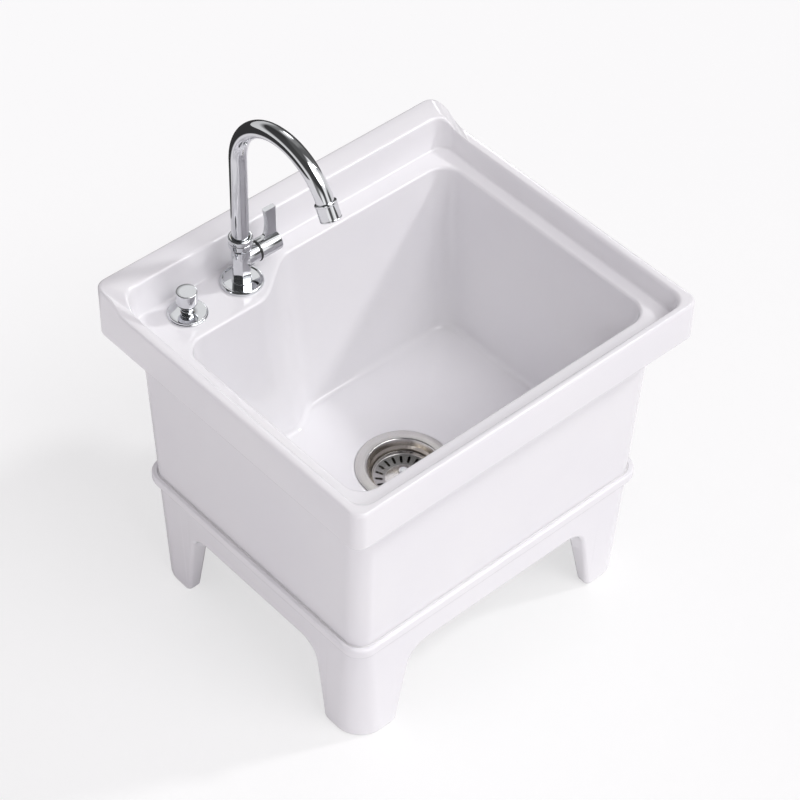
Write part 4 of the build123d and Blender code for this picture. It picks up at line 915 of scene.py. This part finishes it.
@dataclass
class Stand:
    """The ceramic stand: four legs, an arch in each side, and a rolled lip round the basin's foot."""

    foot: Pair = (427.0, 365.0)
    top: Pair = (431.0, 368.0)
    foot_corner: float = 36.0
    top_corner: float = 24.0
    wall: float = 18.0
    seat: float = 165.0
    seat_under: float = 147.0
    bead: Pair = (443.0, 380.0)
    bead_span: Pair = (158.0, 172.0)
    arch_height: float = 114.0
    front_arch: Pair = (308.0, 252.0)
    side_arch: Pair = (248.0, 202.0)
    arch_round: float = 28.0
    heel_round: float = 9.0
    edge_round: float = 5.0
    opening: Pair = (377.0, 314.0)
    seat_wall: Triple = (433.2, 370.2, 23.6)
    under_lip: float = 3.8
    turn: int = 22

    def edge_run(self, span: float, arch: Pair) -> Grid:
        """The lower edge along one side, as (distance along the side, height).

        It stands on the floor, climbs the arch's leaning flank, crosses under the arch's flat top and
        comes down again, with each corner rounded, and is then cut evenly by its own length.

        Args:
            span: length of the side's straight part.
            arch: the arch's width at the floor and at its top.
        """
        foot, top = arch[0] / 2, arch[1] / 2
        corners = np.array(
            [[-span / 2, 0], [-foot, 0], [-top, self.arch_height], [top, self.arch_height], [foot, 0],
             [span / 2, 0]], float
        )
        line = np.concatenate([corners, np.zeros((6, 1))], 1)[:, None]
        soft = [0, self.heel_round, self.arch_round, self.arch_round, self.heel_round, 0]
        curve = rounded_rings(line, soft, 24)[:, 0, :2]
        length = np.concatenate([[0], np.cumsum(np.linalg.norm(np.diff(curve, axis=0), axis=1))])
        even = np.linspace(0, length[-1], int(length[-1] / 3.2), endpoint=False)
        return np.stack([np.interp(even, length, curve[:, k]) for k in (0, 1)], 1)

    def side_share(self) -> tuple[list[Grid], Grid]:
        """For each side its columns' share along it, and the edge's height at every column."""
        sides = (
            (self.foot[0] - 2 * self.foot_corner, self.front_arch),
            (self.foot[1] - 2 * self.foot_corner, self.side_arch),
        )
        shares, heights = [], []
        for index in range(4):
            span, arch = sides[index % 2]
            run = self.edge_run(span, arch)
            shares.append(run[:, 0] / span + 0.5)
            heights.append(run[:, 1])
            heights.append(np.zeros(self.turn))
        return shares, np.concatenate(heights)

    def loop(self, width: float, depth: float, corner: float, shares: list[Grid]) -> Grid:
        """A rounded rectangle whose sides are cut at given shares."""
        return rounded_rectangle(width, depth, corner, shares, self.turn)

    def skin(self) -> Skin:
        """The whole casting as one endless stack of rings.

        The outer wall's rings run from under the lip down to the arched lower edge. The edge is rounded
        outside and inside by quarter turns between the wall's normal and the way out of the wall, which
        is the edge's tangent crossed with that normal. The inner wall, the seat and the lip close it.
        """
        shares, height = self.side_share()
        top_z = self.bead_span[0] + self.under_lip

        def outer(level: Grid | float) -> Grid:
            """The outer wall at a level: the foot line and the top line mixed by height."""
            mix = np.broadcast_to(level, height.shape)[:, None] / top_z
            low = self.loop(*self.foot, self.foot_corner, shares)
            high = self.loop(*self.top, self.top_corner, shares)
            return at_height(low * (1 - mix) + high * mix, level)

        inner_loop = self.loop(
            self.foot[0] - 2 * self.wall, self.foot[1] - 2 * self.wall, self.foot_corner - self.wall, shares
        )
        edge = outer(height)
        inner_edge = at_height(inner_loop, height)
        tangent = unit(np.roll(edge, -1, 0) - np.roll(edge, 1, 0))
        normal = at_height(outward(edge[:, :2], 4), 0.0)
        out = unit(np.cross(tangent, normal))
        out *= np.where(out[:, 2:] > 0, -1.0, 1.0)
        angle = np.linspace(0, math.pi / 2, 7)[:, None, None]
        sine, cosine = np.sin(angle), np.cos(angle)
        radius = self.edge_round
        outer_turn = edge + radius * (normal * (cosine - 1) + out * (sine - 1))
        inner_turn = inner_edge + radius * (out * (cosine - 1) - normal * (sine - 1))
        fall = np.linspace(0, 1, 14)[:-1, None]
        under_lip = outer(top_z)
        wall = np.stack([under_lip * (1 - t) + outer_turn[0] * t for t in fall])
        inner_top = at_height(inner_loop, self.seat_under)
        rise = np.linspace(0, 1, 8)[1:-1, None]
        inside = np.stack([inner_turn[-1] * (1 - t) + inner_top * t for t in rise])
        opening = self.loop(*self.opening, self.top_corner, shares)
        seat = self.loop(*self.seat_wall, shares)
        bead = self.loop(*self.bead, self.top_corner, shares)
        lip_low, lip_high = self.bead_span
        lip = (
            (inner_top, 3.0),
            (at_height(opening, self.seat_under), 2.0),
            (at_height(opening, self.seat), 2.0),
            (at_height(seat, self.seat), 0),
            (at_height(seat, lip_high), 1.0),
            (at_height(bead, lip_high), 4.2),
            (at_height(bead, lip_low), 4.6),
            (under_lip * [1, 1, 0] + [0, 0, lip_low], 2.2),
            (outer(top_z - 12), 0),
        )
        rolled = rounded_rings(np.stack([ring for ring, _ in lip]), [r for _, r in lip], 7)
        return Skin(np.concatenate([wall[1:], outer_turn, inner_turn, inside, rolled[:-1]]), True)

    def make(self, shop: Workshop) -> None:
        """Builds the stand."""
        shop.piece("stand_casting", [self.skin()], Slot.GLAZE, Body.SINK, ["stand"])


@dataclass
class Seal:
    """The bed of sealant between the castings, and the bead wiped along its outer edge."""

    foot: Triple = (430.0, 367.0, 22.0)
    section: tuple[Corner, ...] = (
        (1.45, 165.1, 0.2), (1.45, 171.3, 0.6), (0.35, 173.0, 0.2), (0.1, 166.9, 0.0), (-12.0, 166.9, 0.2),
        (-12.0, 165.1, 0.2),
    )
    along: tuple[int, int] = (60, 52)
    turn: int = 14

    def make(self, shop: Workshop) -> None:
        """Builds the seal from its section: distance out from the basin's foot, height and softening."""
        width, depth, corner = self.foot
        rings = [
            at_height(
                rounded_rectangle(
                    width + 2 * out, depth + 2 * out, corner + out, even_shares(self.along), self.turn
                ),
                height,
            )
            for out, height, _ in self.section
        ]
        skin = stacked(rings, [radius for *_, radius in self.section], Place((0.0, 0.0, 0.0)), True)
        shop.piece("sealant_bead", [skin], Slot.SEALANT, Body.SINK, ["bedding_seal"])


@dataclass
class Spout:
    """The gooseneck: one bent tube and the aerator at its end."""

    foot: Triple = (-98.0, 150.2, 485.75)
    rise: float = 113.0
    bend: float = 76.0
    turn: float = 152.0
    tip: float = 5.0
    outside: float = 10.0
    inside: float = 8.6
    points: int = 96
    aerator: tuple[Corner, ...] = (
        (10.1, 0.0, 0.0), (10.1, -4.5, 0.3), (12.28, -4.5, 0.8), (12.28, -1.9, 0.7), (11.8, -1.3, 0.4),
        (11.8, 13.6, 0.3), (12.1, 14.1, 0.4), (12.1, 15.5, 0.6), (10.2, 15.5, 0.3), (10.2, 12.05, 0.0),
        (10.55, 12.05, 0.0), (10.55, 0.0, 0.0),
    )

    def path(self) -> tuple[Grid, Grid]:
        """Centres along the tube and its direction at each.

        It rises straight, then turns about a centre one bend radius in front: at angle a the centre is
        (cos a, sin a) times the radius from there in the (y, z) plane, and the way is (-sin a, cos a).
        """
        x, y, z = self.foot
        angle = np.radians(np.linspace(0, self.turn, 110))
        centre = np.array([y - self.bend, z + self.rise])
        arc = centre + self.bend * np.stack([np.cos(angle), np.sin(angle)], 1)
        way = np.stack([-np.sin(angle), np.cos(angle)], 1)
        line = np.concatenate([[[y, z]], arc, arc[-1:] + way[-1:] * self.tip])
        ways = np.concatenate([way[:1], way, way[-1:]])
        return np.insert(line, 0, x, 1), np.insert(ways, 0, 0.0, 1)

    def tube(self) -> Skin:
        """The tube's wall: rings along the outside, and back along the inside."""
        centres, ways = self.path()
        across = np.array([1.0, 0.0, 0.0])
        up = np.cross(ways, across)
        ring = circle(1.0, self.points)
        rings = ring[None, :, :1] * across + ring[None, :, 1:] * up[:, None]
        walls = [centres[:, None] + rings * radius for radius in (self.outside, self.inside)]
        return Skin(np.concatenate([walls[0], walls[1][::-1]]), True)

    def make(self, shop: Workshop) -> None:
        """Builds the tube and the aerator."""
        shop.piece("gooseneck", [self.tube()], Slot.CHROME, Body.SPOUT, ["spout_tube"])
        centres, ways = self.path()
        end = Place(tuple(centres[-1]), (1.0, 0.0, 0.0), tuple(ways[-1]))
        shop.turn("aerator", self.aerator, end, Body.SPOUT, "aerator_shell")


@dataclass
class Tap:
    """The fixed part of the tap: escutcheon, hexagonal column, side arm and swivel collar."""

    axis: Place = Place((-98.0, 150.2, 0.0))
    arm_axis: Place = Place((-98.0, 150.2, 455.0), (0.0, 1.0, 0.0), (1.0, 0.0, 0.0))
    flats: float = 19.6
    edge: float = 0.7
    column: Pair = (424.5, 464.5)
    shank_bore: Pair = (7.05, 432.6)
    foot: tuple[Corner, ...] = ((7.1, 424.5, 0.0), (11.5, 424.5, 0.1), (11.5, 425.7, 0.4), (7.1, 425.7, 0.0))
    neck: tuple[Corner, ...] = (
        (10.9, 460.0, 0.0), (10.9, 483.5, 0.3), (8.05, 483.5, 0.3), (8.05, 463.5, 0.0),
    )
    arm: tuple[Corner, ...] = (
        (9.0, 0.0, 0.0), (12.2, 4.0, 1.6), (12.2, 20.0, 0.5), (7.05, 20.0, 0.2), (7.05, 1.8, 0.0),
    )
    seal: tuple[Corner, ...] = ((7.1, 20.0, 0.1), (12.9, 20.0, 0.5), (12.9, 22.0, 0.5), (7.1, 22.0, 0.1))
    escutcheon: tuple[Corner, ...] = (
        (10.6, 422.0, 0.0), (21.1, 422.0, 0.0), (21.1, 421.0, 0.0), (25.25, 421.0, 0.3), (25.25, 423.7, 1.3),
        (23.7, 425.5, 1.1), (22.0, 425.5, 0.8), (20.9, 424.5, 0.7), (10.6, 424.5, 0.0),
    )
    collar: tuple[Corner, ...] = (
        (11.1, 471.5, 0.0), (11.7, 471.5, 0.4), (14.0, 476.6, 1.2), (14.0, 482.6, 0.4), (13.3, 483.3, 0.3),
        (14.0, 484.0, 0.4), (14.0, 489.4, 2.0), (10.35, 489.4, 0.9), (10.35, 485.9, 0.0), (11.1, 485.9, 0.0),
    )

    def column_skin(self) -> Skin:
        """The hexagonal column, hollow below for the shank's spigot."""
        outline = rounded_polygon(self.flats, 6, self.edge, 10, 6)
        radius, bore_top = self.shank_bore
        bore = circle(radius, len(outline))
        foot, top = self.column
        levels = ((bore, bore_top), (bore, foot), (outline, foot), (outline, top))
        return stacked([at_height(*level) for level in levels], (0, 0, 0.3, 0.8), self.axis)

    def make(self, shop: Workshop) -> None:
        """Builds the fixed pieces of the tap."""
        skins = [
            self.column_skin(),
            turned(self.foot, self.axis),
            turned(self.neck, self.axis, closed=False),
            turned(self.arm, self.arm_axis, closed=False),
        ]
        shop.piece("tap_column", skins, Slot.CHROME, Body.SINK, ["tap_body"])
        shop.turn("tap_escutcheon", self.escutcheon, self.axis, Body.SINK, "escutcheon")
        shop.turn("swivel_collar", self.collar, self.axis, Body.SINK, "spout_collar")
        shop.turn("arm_ring", self.seal, self.arm_axis, Body.SINK, "bonnet_ring", Slot.BLACK_PLASTIC)


@dataclass
class Lever:
    """The lever: a round hub and a flat blade that flares into it."""

    axis: Place = Place((-75.4, 150.2, 455.0), (0.0, 1.0, 0.0), (1.0, 0.0, 0.0))
    hub: tuple[Corner, ...] = (
        (4.1, 23.8, 0.0), (4.1, 0.0, 0.1), (12.3, 0.0, 0.5), (12.3, 28.6, 1.5), (6.0, 28.6, 0.0),
    )
    blade: Pair = (-62.3, -49.3)
    levels: Triple = (462.5, 484.0, 507.0)
    flare: Triple = (9.5, 1.0, 3.0)
    thick: float = 6.0
    edge: float = 0.9
    grub: Lobe = (-63.4, 2.1, 441.0, 453.0)

    def blade_skin(self) -> Skin:
        """The blade as rounded rectangles above each other.

        Each edge leaves the waist upright and bends away on a circle: at a height h from the waist it
        has moved r - sqrt(r^2 - h^2), with r = (reach^2 + run^2) / (2 reach) for its whole reach.
        """
        root, waist, tip = self.levels
        below = np.linspace(root, waist, 16, endpoint=False)
        above = np.linspace(waist, tip, 16)

        def bend(level: Grid, reach: float, run: float) -> Grid:
            """How far an edge has moved at each level."""
            radius = (reach * reach + run * run) / (2 * reach)
            return radius - np.sqrt(radius * radius - (level - waist) ** 2)

        left, right = self.blade
        near, far, top = self.flare
        level = np.concatenate([below, above])
        lefts = left - np.concatenate([bend(below, near, waist - root), bend(above, top, tip - waist)])
        rights = right + np.concatenate([bend(below, far, waist - root), np.zeros(16)])
        rings = []
        for z, low, high in zip(level, lefts, rights):
            ring = rounded_rectangle(high - low, self.thick, self.edge, even_shares((14, 6)), 5)
            ring += [(low + high) / 2, 0]
            rings.append(at_height(ring, z))
        return stacked(rings, (0,) * 31 + (0.8,), Place((0.0, self.axis.origin[1], 0.0)))

    def make(self, shop: Workshop) -> None:
        """Builds the lever, with the hole for its grub screw below."""
        x, radius, *span = self.grub
        place = Place((x, self.axis.origin[1], 0.0))
        bore = stacked([at_height(circle(radius, 32), end) for end in span], (0, 0), place)
        skins = [turned(self.hub, self.axis, closed=False), self.blade_skin()]
        shop.piece("lever", skins, Slot.CHROME, Body.LEVER, ["lever_handle"], [bore])


@dataclass
class Knob:
    """The drain control: a lift knob on its stem, and the flange it stands on."""

    axis: Place = Place((-176.0, 149.0, 0.0))
    cap: tuple[Corner, ...] = (
        (7.35, 441.5, 0.0), (7.35, 432.5, 0.1), (8.5, 432.5, 0.7), (12.0, 438.5, 4.5), (12.0, 455.0, 1.0),
        (6.0, 455.0, 0.0),
    )
    stem: tuple[Corner, ...] = (
        (2.5, 407.0, 0.0), (2.5, 395.0, 0.1), (7.3, 395.0, 0.4), (7.3, 403.4, 0.0), (5.25, 403.4, 0.0),
        (5.25, 405.4, 0.0), (7.3, 405.4, 0.0), (7.3, 408.0, 0.0), (5.25, 408.0, 0.0), (5.25, 410.0, 0.0),
        (7.3, 410.0, 0.0), (7.3, 427.9, 0.2), (7.58, 428.3, 0.2), (7.3, 428.7, 0.2), (7.3, 441.4, 0.2),
        (4.0, 441.4, 0.0),
    )
    flange: tuple[Corner, ...] = (
        (12.1, 421.0, 0.0), (23.0, 421.0, 0.3), (23.0, 422.7, 0.9), (21.9, 423.3, 0.3), (21.5, 425.0, 0.9),
        (7.65, 425.0, 0.3), (7.65, 423.0, 0.0), (12.1, 423.0, 0.0),
    )

    def make(self, shop: Workshop) -> None:
        """Builds the knob, its stem and its flange."""
        shop.turn("knob_top", self.cap, self.axis, Body.KNOB, "knob_cap", closed=False)
        shop.turn("knob_rod", self.stem, self.axis, Body.KNOB, "knob_stem", closed=False)
        shop.turn("knob_plate", self.flange, self.axis, Body.SINK, "knob_flange")


@dataclass
class Drain:
    """The drain: a cup drawn from sheet, and the slotted strainer that drops into it."""

    axis: Place = Place((0.0, -18.0, 0.0))
    cup: tuple[Corner, ...] = (
        (57.0, 187.8, 0.0), (44.0, 187.8, 2.5), (40.5, 179.8, 2.0), (38.0, 176.8, 2.0), (38.0, 149.8, 2.5),
        (20.0, 149.8, 2.5), (20.0, 144.6, 0.0),
    )
    cup_sheet: float = 1.2
    basket: tuple[Corner, ...] = (
        (36.3, 174.8, 0.0), (36.3, 170.3, 1.2), (21.5, 166.9, 1.2), (7.0, 171.5, 3.0), (2.55, 171.5, 0.0),
    )
    basket_sheet: float = 1.0
    slots: int = 20
    slot_at: float = 28.9
    slot: Pair = (9.5, 3.2)
    slot_span: Pair = (164.0, 172.0)
    handle: tuple[Corner, ...] = (
        (2.5, 146.9, 0.2), (2.5, 171.5, 0.0), (3.5, 171.5, 0.5), (3.2, 174.5, 0.6), (6.25, 174.8, 1.6),
        (6.25, 181.5, 2.6), (2.0, 181.5, 0.0),
    )

    def sheet(self, line: tuple[Corner, ...], thick: float) -> Skin:
        """A turned sheet: the line, and back along it one thickness to the left."""
        top = np.asarray(line, float)
        under = np.column_stack([offset_line(top[:, :2], thick), top[:, 2] * 1.2])
        edge = 0.3 * thick
        top[[0, -1], 2] = edge
        under[[0, -1], 2] = edge
        return turned(np.concatenate([top, under[::-1]]), self.axis, 160)

    def slot_spaces(self) -> list[Skin]:
        """The slots' spaces: round-ended prisms in a ring, each turned to its own bearing."""
        length, width = self.slot
        outline = rounded_rectangle(length, width, width / 2 - 0.01, even_shares((8, 2)), 8)
        outline += [self.slot_at, 0]
        spaces = []
        for angle in np.linspace(0, 2 * math.pi, self.slots, endpoint=False):
            turn = np.array([[math.cos(angle), math.sin(angle)], [-math.sin(angle), math.cos(angle)]])
            rings = [at_height(outline @ turn, level) for level in self.slot_span]
            spaces.append(stacked(rings, (0, 0), self.axis))
        return spaces

    def make(self, shop: Workshop) -> None:
        """Builds the cup, the strainer and its knob."""
        steel, strainer = Slot.BRUSHED_STEEL, Body.STRAINER
        cup = self.sheet(self.cup, self.cup_sheet)
        shop.piece("cup", [cup], steel, Body.SINK, ["drain_cup"])
        basket = self.sheet(self.basket, self.basket_sheet)
        shop.piece("strainer", [basket], steel, strainer, ["strainer_basket"], self.slot_spaces())
        shop.turn("strainer_handle", self.handle, self.axis, strainer, "strainer_knob", closed=False)


@dataclass
class Backdrop:
    """White floor, soft light and the camera of the photograph."""

    keys: tuple[Beam, ...] = ((0.67, -0.33, 0.67, 0.95, 6.0), (0.1, -0.6, 0.8, 0.98, 35.0))
    lobes: tuple[Lobe, ...] = (
        (0.0, 0.0, 1.0, 0.39), (0.0, -0.944, 0.33, 0.62), (-0.944, 0.0, 0.33, 0.40), (0.0, 0.944, 0.33, 0.25),
    )
    shade: Colour = (1.0, 0.95, 1.0)
    windows: tuple[Beam, ...] = (
        (0.476, 0.51, 0.71, 0.95, 11.0), (0.476, -0.66, 0.58, 8.0, 9.0), (0.70, 0.50, 0.50, 6.0, 8.0),
    )
    window_edge: float = 2.0
    horizon: tuple[Stop, ...] = (
        (-180, 0.9), (-170, 0.9), (-162, 0.22), (-146, 0.28), (-138, 1.1), (-122, 1.1), (-114, 0.1),
        (-98, 0.12), (-90, 0.9), (-68, 1.2), (-58, 0.12), (-42, 0.1), (-32, 0.8), (-8, 0.9), (2, 0.15),
        (40, 0.12), (60, 0.7), (120, 0.8), (180, 0.9),
    )
    sky: tuple[Stop, ...] = (
        (-180, 0.07), (-95, 0.05), (-84, 1.15), (-24, 1.15), (-16, 0.15), (6, 0.15), (20, 0.3), (64, 0.25),
        (86, 0.05), (180, 0.07),
    )

    sky_edge: Pair = (0.24, 0.42)
    top_edge: Pair = (0.88, 0.97)
    top: Colour = (0.12, 0.12, 0.12)
    mat_edge: Pair = (0.62, 0.74)
    plain: float = 0.6
    across: float = 30.0
    view: Triple = (-42.7735, 45.4857, 1.4754)
    aim: float = 250.0
    stand: Triple = (6.2795, 23.2064, 3099.757)
    focal: float = 2699.90 / 800

    def floor(self) -> None:
        """A wide white floor that keeps the sink's shadow.

        To the camera it is a mix of lit white and plain white, so that the shadow stays and is pale. In
        mirrors, the floor well behind the sink is a dark mat.
        """
        maker = NodeMaker("floor")
        haze = maker.spread(maker.noise(2.0, 2.0), 0.3, 0.7, 0.0, 1.0)
        tone = maker.tint(haze, (0.96, 0.96, 0.965), (0.97, 0.97, 0.97))
        path = maker.tree.nodes.new("ShaderNodeLightPath")
        back = maker.node("ShaderNodeSeparateXYZ", Vector=maker.where).outputs["Y"]
        beyond = maker.spread(back, *self.mat_edge, 0.0, 1.0)
        mat = maker.math("MULTIPLY", beyond, path.outputs["Is Glossy Ray"])
        tone = maker.tint(mat, tone, (0.05, 0.05, 0.05))
        grain = maker.bump(maker.noise(400.0, 2.0), 0.00001)
        lit = maker.node("ShaderNodeBsdfPrincipled", Base_Color=tone, Roughness=0.9, Normal=grain)
        lit.inputs["Specular IOR Level"].default_value = 0.0
        plain = maker.node("ShaderNodeEmission", Color=(1.0, 1.0, 1.0, 1.0), Strength=1.0)
        seen = maker.math("MULTIPLY", path.outputs["Is Camera Ray"], self.plain)
        maker.finish(maker.blend(seen, lit, plain))
        mesh = bpy.data.meshes.new("floor")
        corners = self.across * np.array([[-1, -1, 0], [1, -1, 0], [1, 1, 0], [-1, 1, 0]], float)
        mesh.from_pydata(corners.tolist(), [], [(0, 1, 2, 3)])
        mesh.materials.append(maker.material)
        made = bpy.data.objects.new("floor", mesh)
        bpy.context.scene.collection.objects.link(made)

    def world(self) -> None:
        """White to the camera, a studio to mirrors, and a soft dome to everything else.

        The dome is a sum of lobes: each gives its level times the square of the cosine between its own
        direction and the direction looked in. In mirrors the studio is a ring of grey levels by azimuth
        at the horizon, another ring higher up, a dark top, and round windows. The share of each is a
        clamped step of the direction's height, or of its nearness to the window's middle.
        """
        maker = NodeMaker("studio", world=True)
        bpy.context.scene.world = maker.material
        split = maker.node("ShaderNodeSeparateXYZ", Vector=maker.where)
        radians = maker.math("ARCTAN2", split.outputs["Y"], split.outputs["X"])
        azimuth = maker.math("MULTIPLY", radians, 180 / math.pi)
        low, high = (maker.ramp(azimuth, stops, -180.0, 180.0) for stops in (self.horizon, self.sky))
        height = split.outputs["Z"]
        ring = maker.tint(maker.spread(height, *self.sky_edge, 0.0, 1.0), low, high)
        ring = maker.tint(maker.spread(height, *self.top_edge, 0.0, 1.0), ring, self.top)
        for *towards, level, radius in self.windows:
            edge = (math.cos(math.radians(radius + side * self.window_edge)) for side in (1, -1))
            near = maker.spread(maker.nearness(towards), *edge, 0.0, 1.0)
            ring = maker.tint(near, ring, (level, level, level))
        studio = maker.node("ShaderNodeBackground", Color=ring)
        light: object = 0.0
        for *towards, level in self.lobes:
            near = maker.nearness(towards)
            lobe = maker.math("MULTIPLY", maker.math("MULTIPLY", near, near), level)
            light = maker.math("ADD", lobe, light)
        dome = maker.node("ShaderNodeBackground", Color=(*self.shade, 1.0), Strength=light)
        white = maker.node("ShaderNodeBackground", Color=(1.0, 1.0, 1.0, 1.0))
        path = maker.tree.nodes.new("ShaderNodeLightPath")
        mirror = maker.math("MAXIMUM", path.outputs["Is Glossy Ray"], path.outputs["Is Transmission Ray"])
        seen = maker.blend(mirror, dome, studio)
        maker.finish(maker.blend(path.outputs["Is Camera Ray"], seen, white))

    def key_lights(self) -> None:
        """A narrow sun from the right and a broad one from the front, both high."""
        for *towards, energy, angle in self.keys:
            lamp = bpy.data.lights.new("key", "SUN")
            lamp.energy = energy
            lamp.angle = math.radians(angle)
            made = bpy.data.objects.new("key", lamp)
            made.rotation_mode = "QUATERNION"
            made.rotation_quaternion = Vector(towards).to_track_quat("Z", "Y")
            bpy.context.scene.collection.objects.link(made)

    def camera(self) -> None:
        """The photograph's view: a long lens from the front left, looking down at 45 degrees.

        The camera stands on the line that leaves the aim at the view's azimuth and elevation, moved
        aside and up in the picture's plane. The picture is turned by the view's roll.
        """
        azimuth, elevation, roll = (math.radians(angle) for angle in self.view)
        level = Vector((math.cos(azimuth), math.sin(azimuth), 0))
        away = Vector((math.sin(azimuth), -math.cos(azimuth), 0))
        back = away * math.cos(elevation) + Vector((0, 0, math.sin(elevation)))
        above = back.cross(level)
        right = level * math.cos(roll) + above * math.sin(roll)
        up = above * math.cos(roll) - level * math.sin(roll)
        aside, above_middle, distance = self.stand
        place = Vector((0, 0, self.aim)) + back * distance + right * aside + up * above_middle
        data = bpy.data.cameras.new("camera")
        data.sensor_width = 36.0
        data.lens = data.sensor_width * self.focal
        data.clip_end = 100.0
        made = bpy.data.objects.new("camera", data)
        turn = Matrix((right, up, back)).transposed().to_4x4()
        made.matrix_world = Matrix.Translation(place * METRES) @ turn
        bpy.context.scene.collection.objects.link(made)
        bpy.context.scene.camera = made

    def make(self) -> None:
        """Builds the floor, the world, the lights and the camera."""
        bpy.context.scene.view_settings.view_transform = "Standard"
        self.floor()
        self.world()
        self.key_lights()
        self.camera()


def main() -> None:
    """Builds every piece in order."""
    logging.basicConfig(level=logging.INFO, format="%(message)s")
    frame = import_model()
    Backdrop().make()
    shop = Workshop(Finishes())
    shop.finishes.dress_nodes(frame)
    for assembly in (Basin(), Stand(), Seal(), Spout(), Tap(), Lever(), Knob(), Drain()):
        assembly.make(shop)


if __name__ == "__main__":
    main()
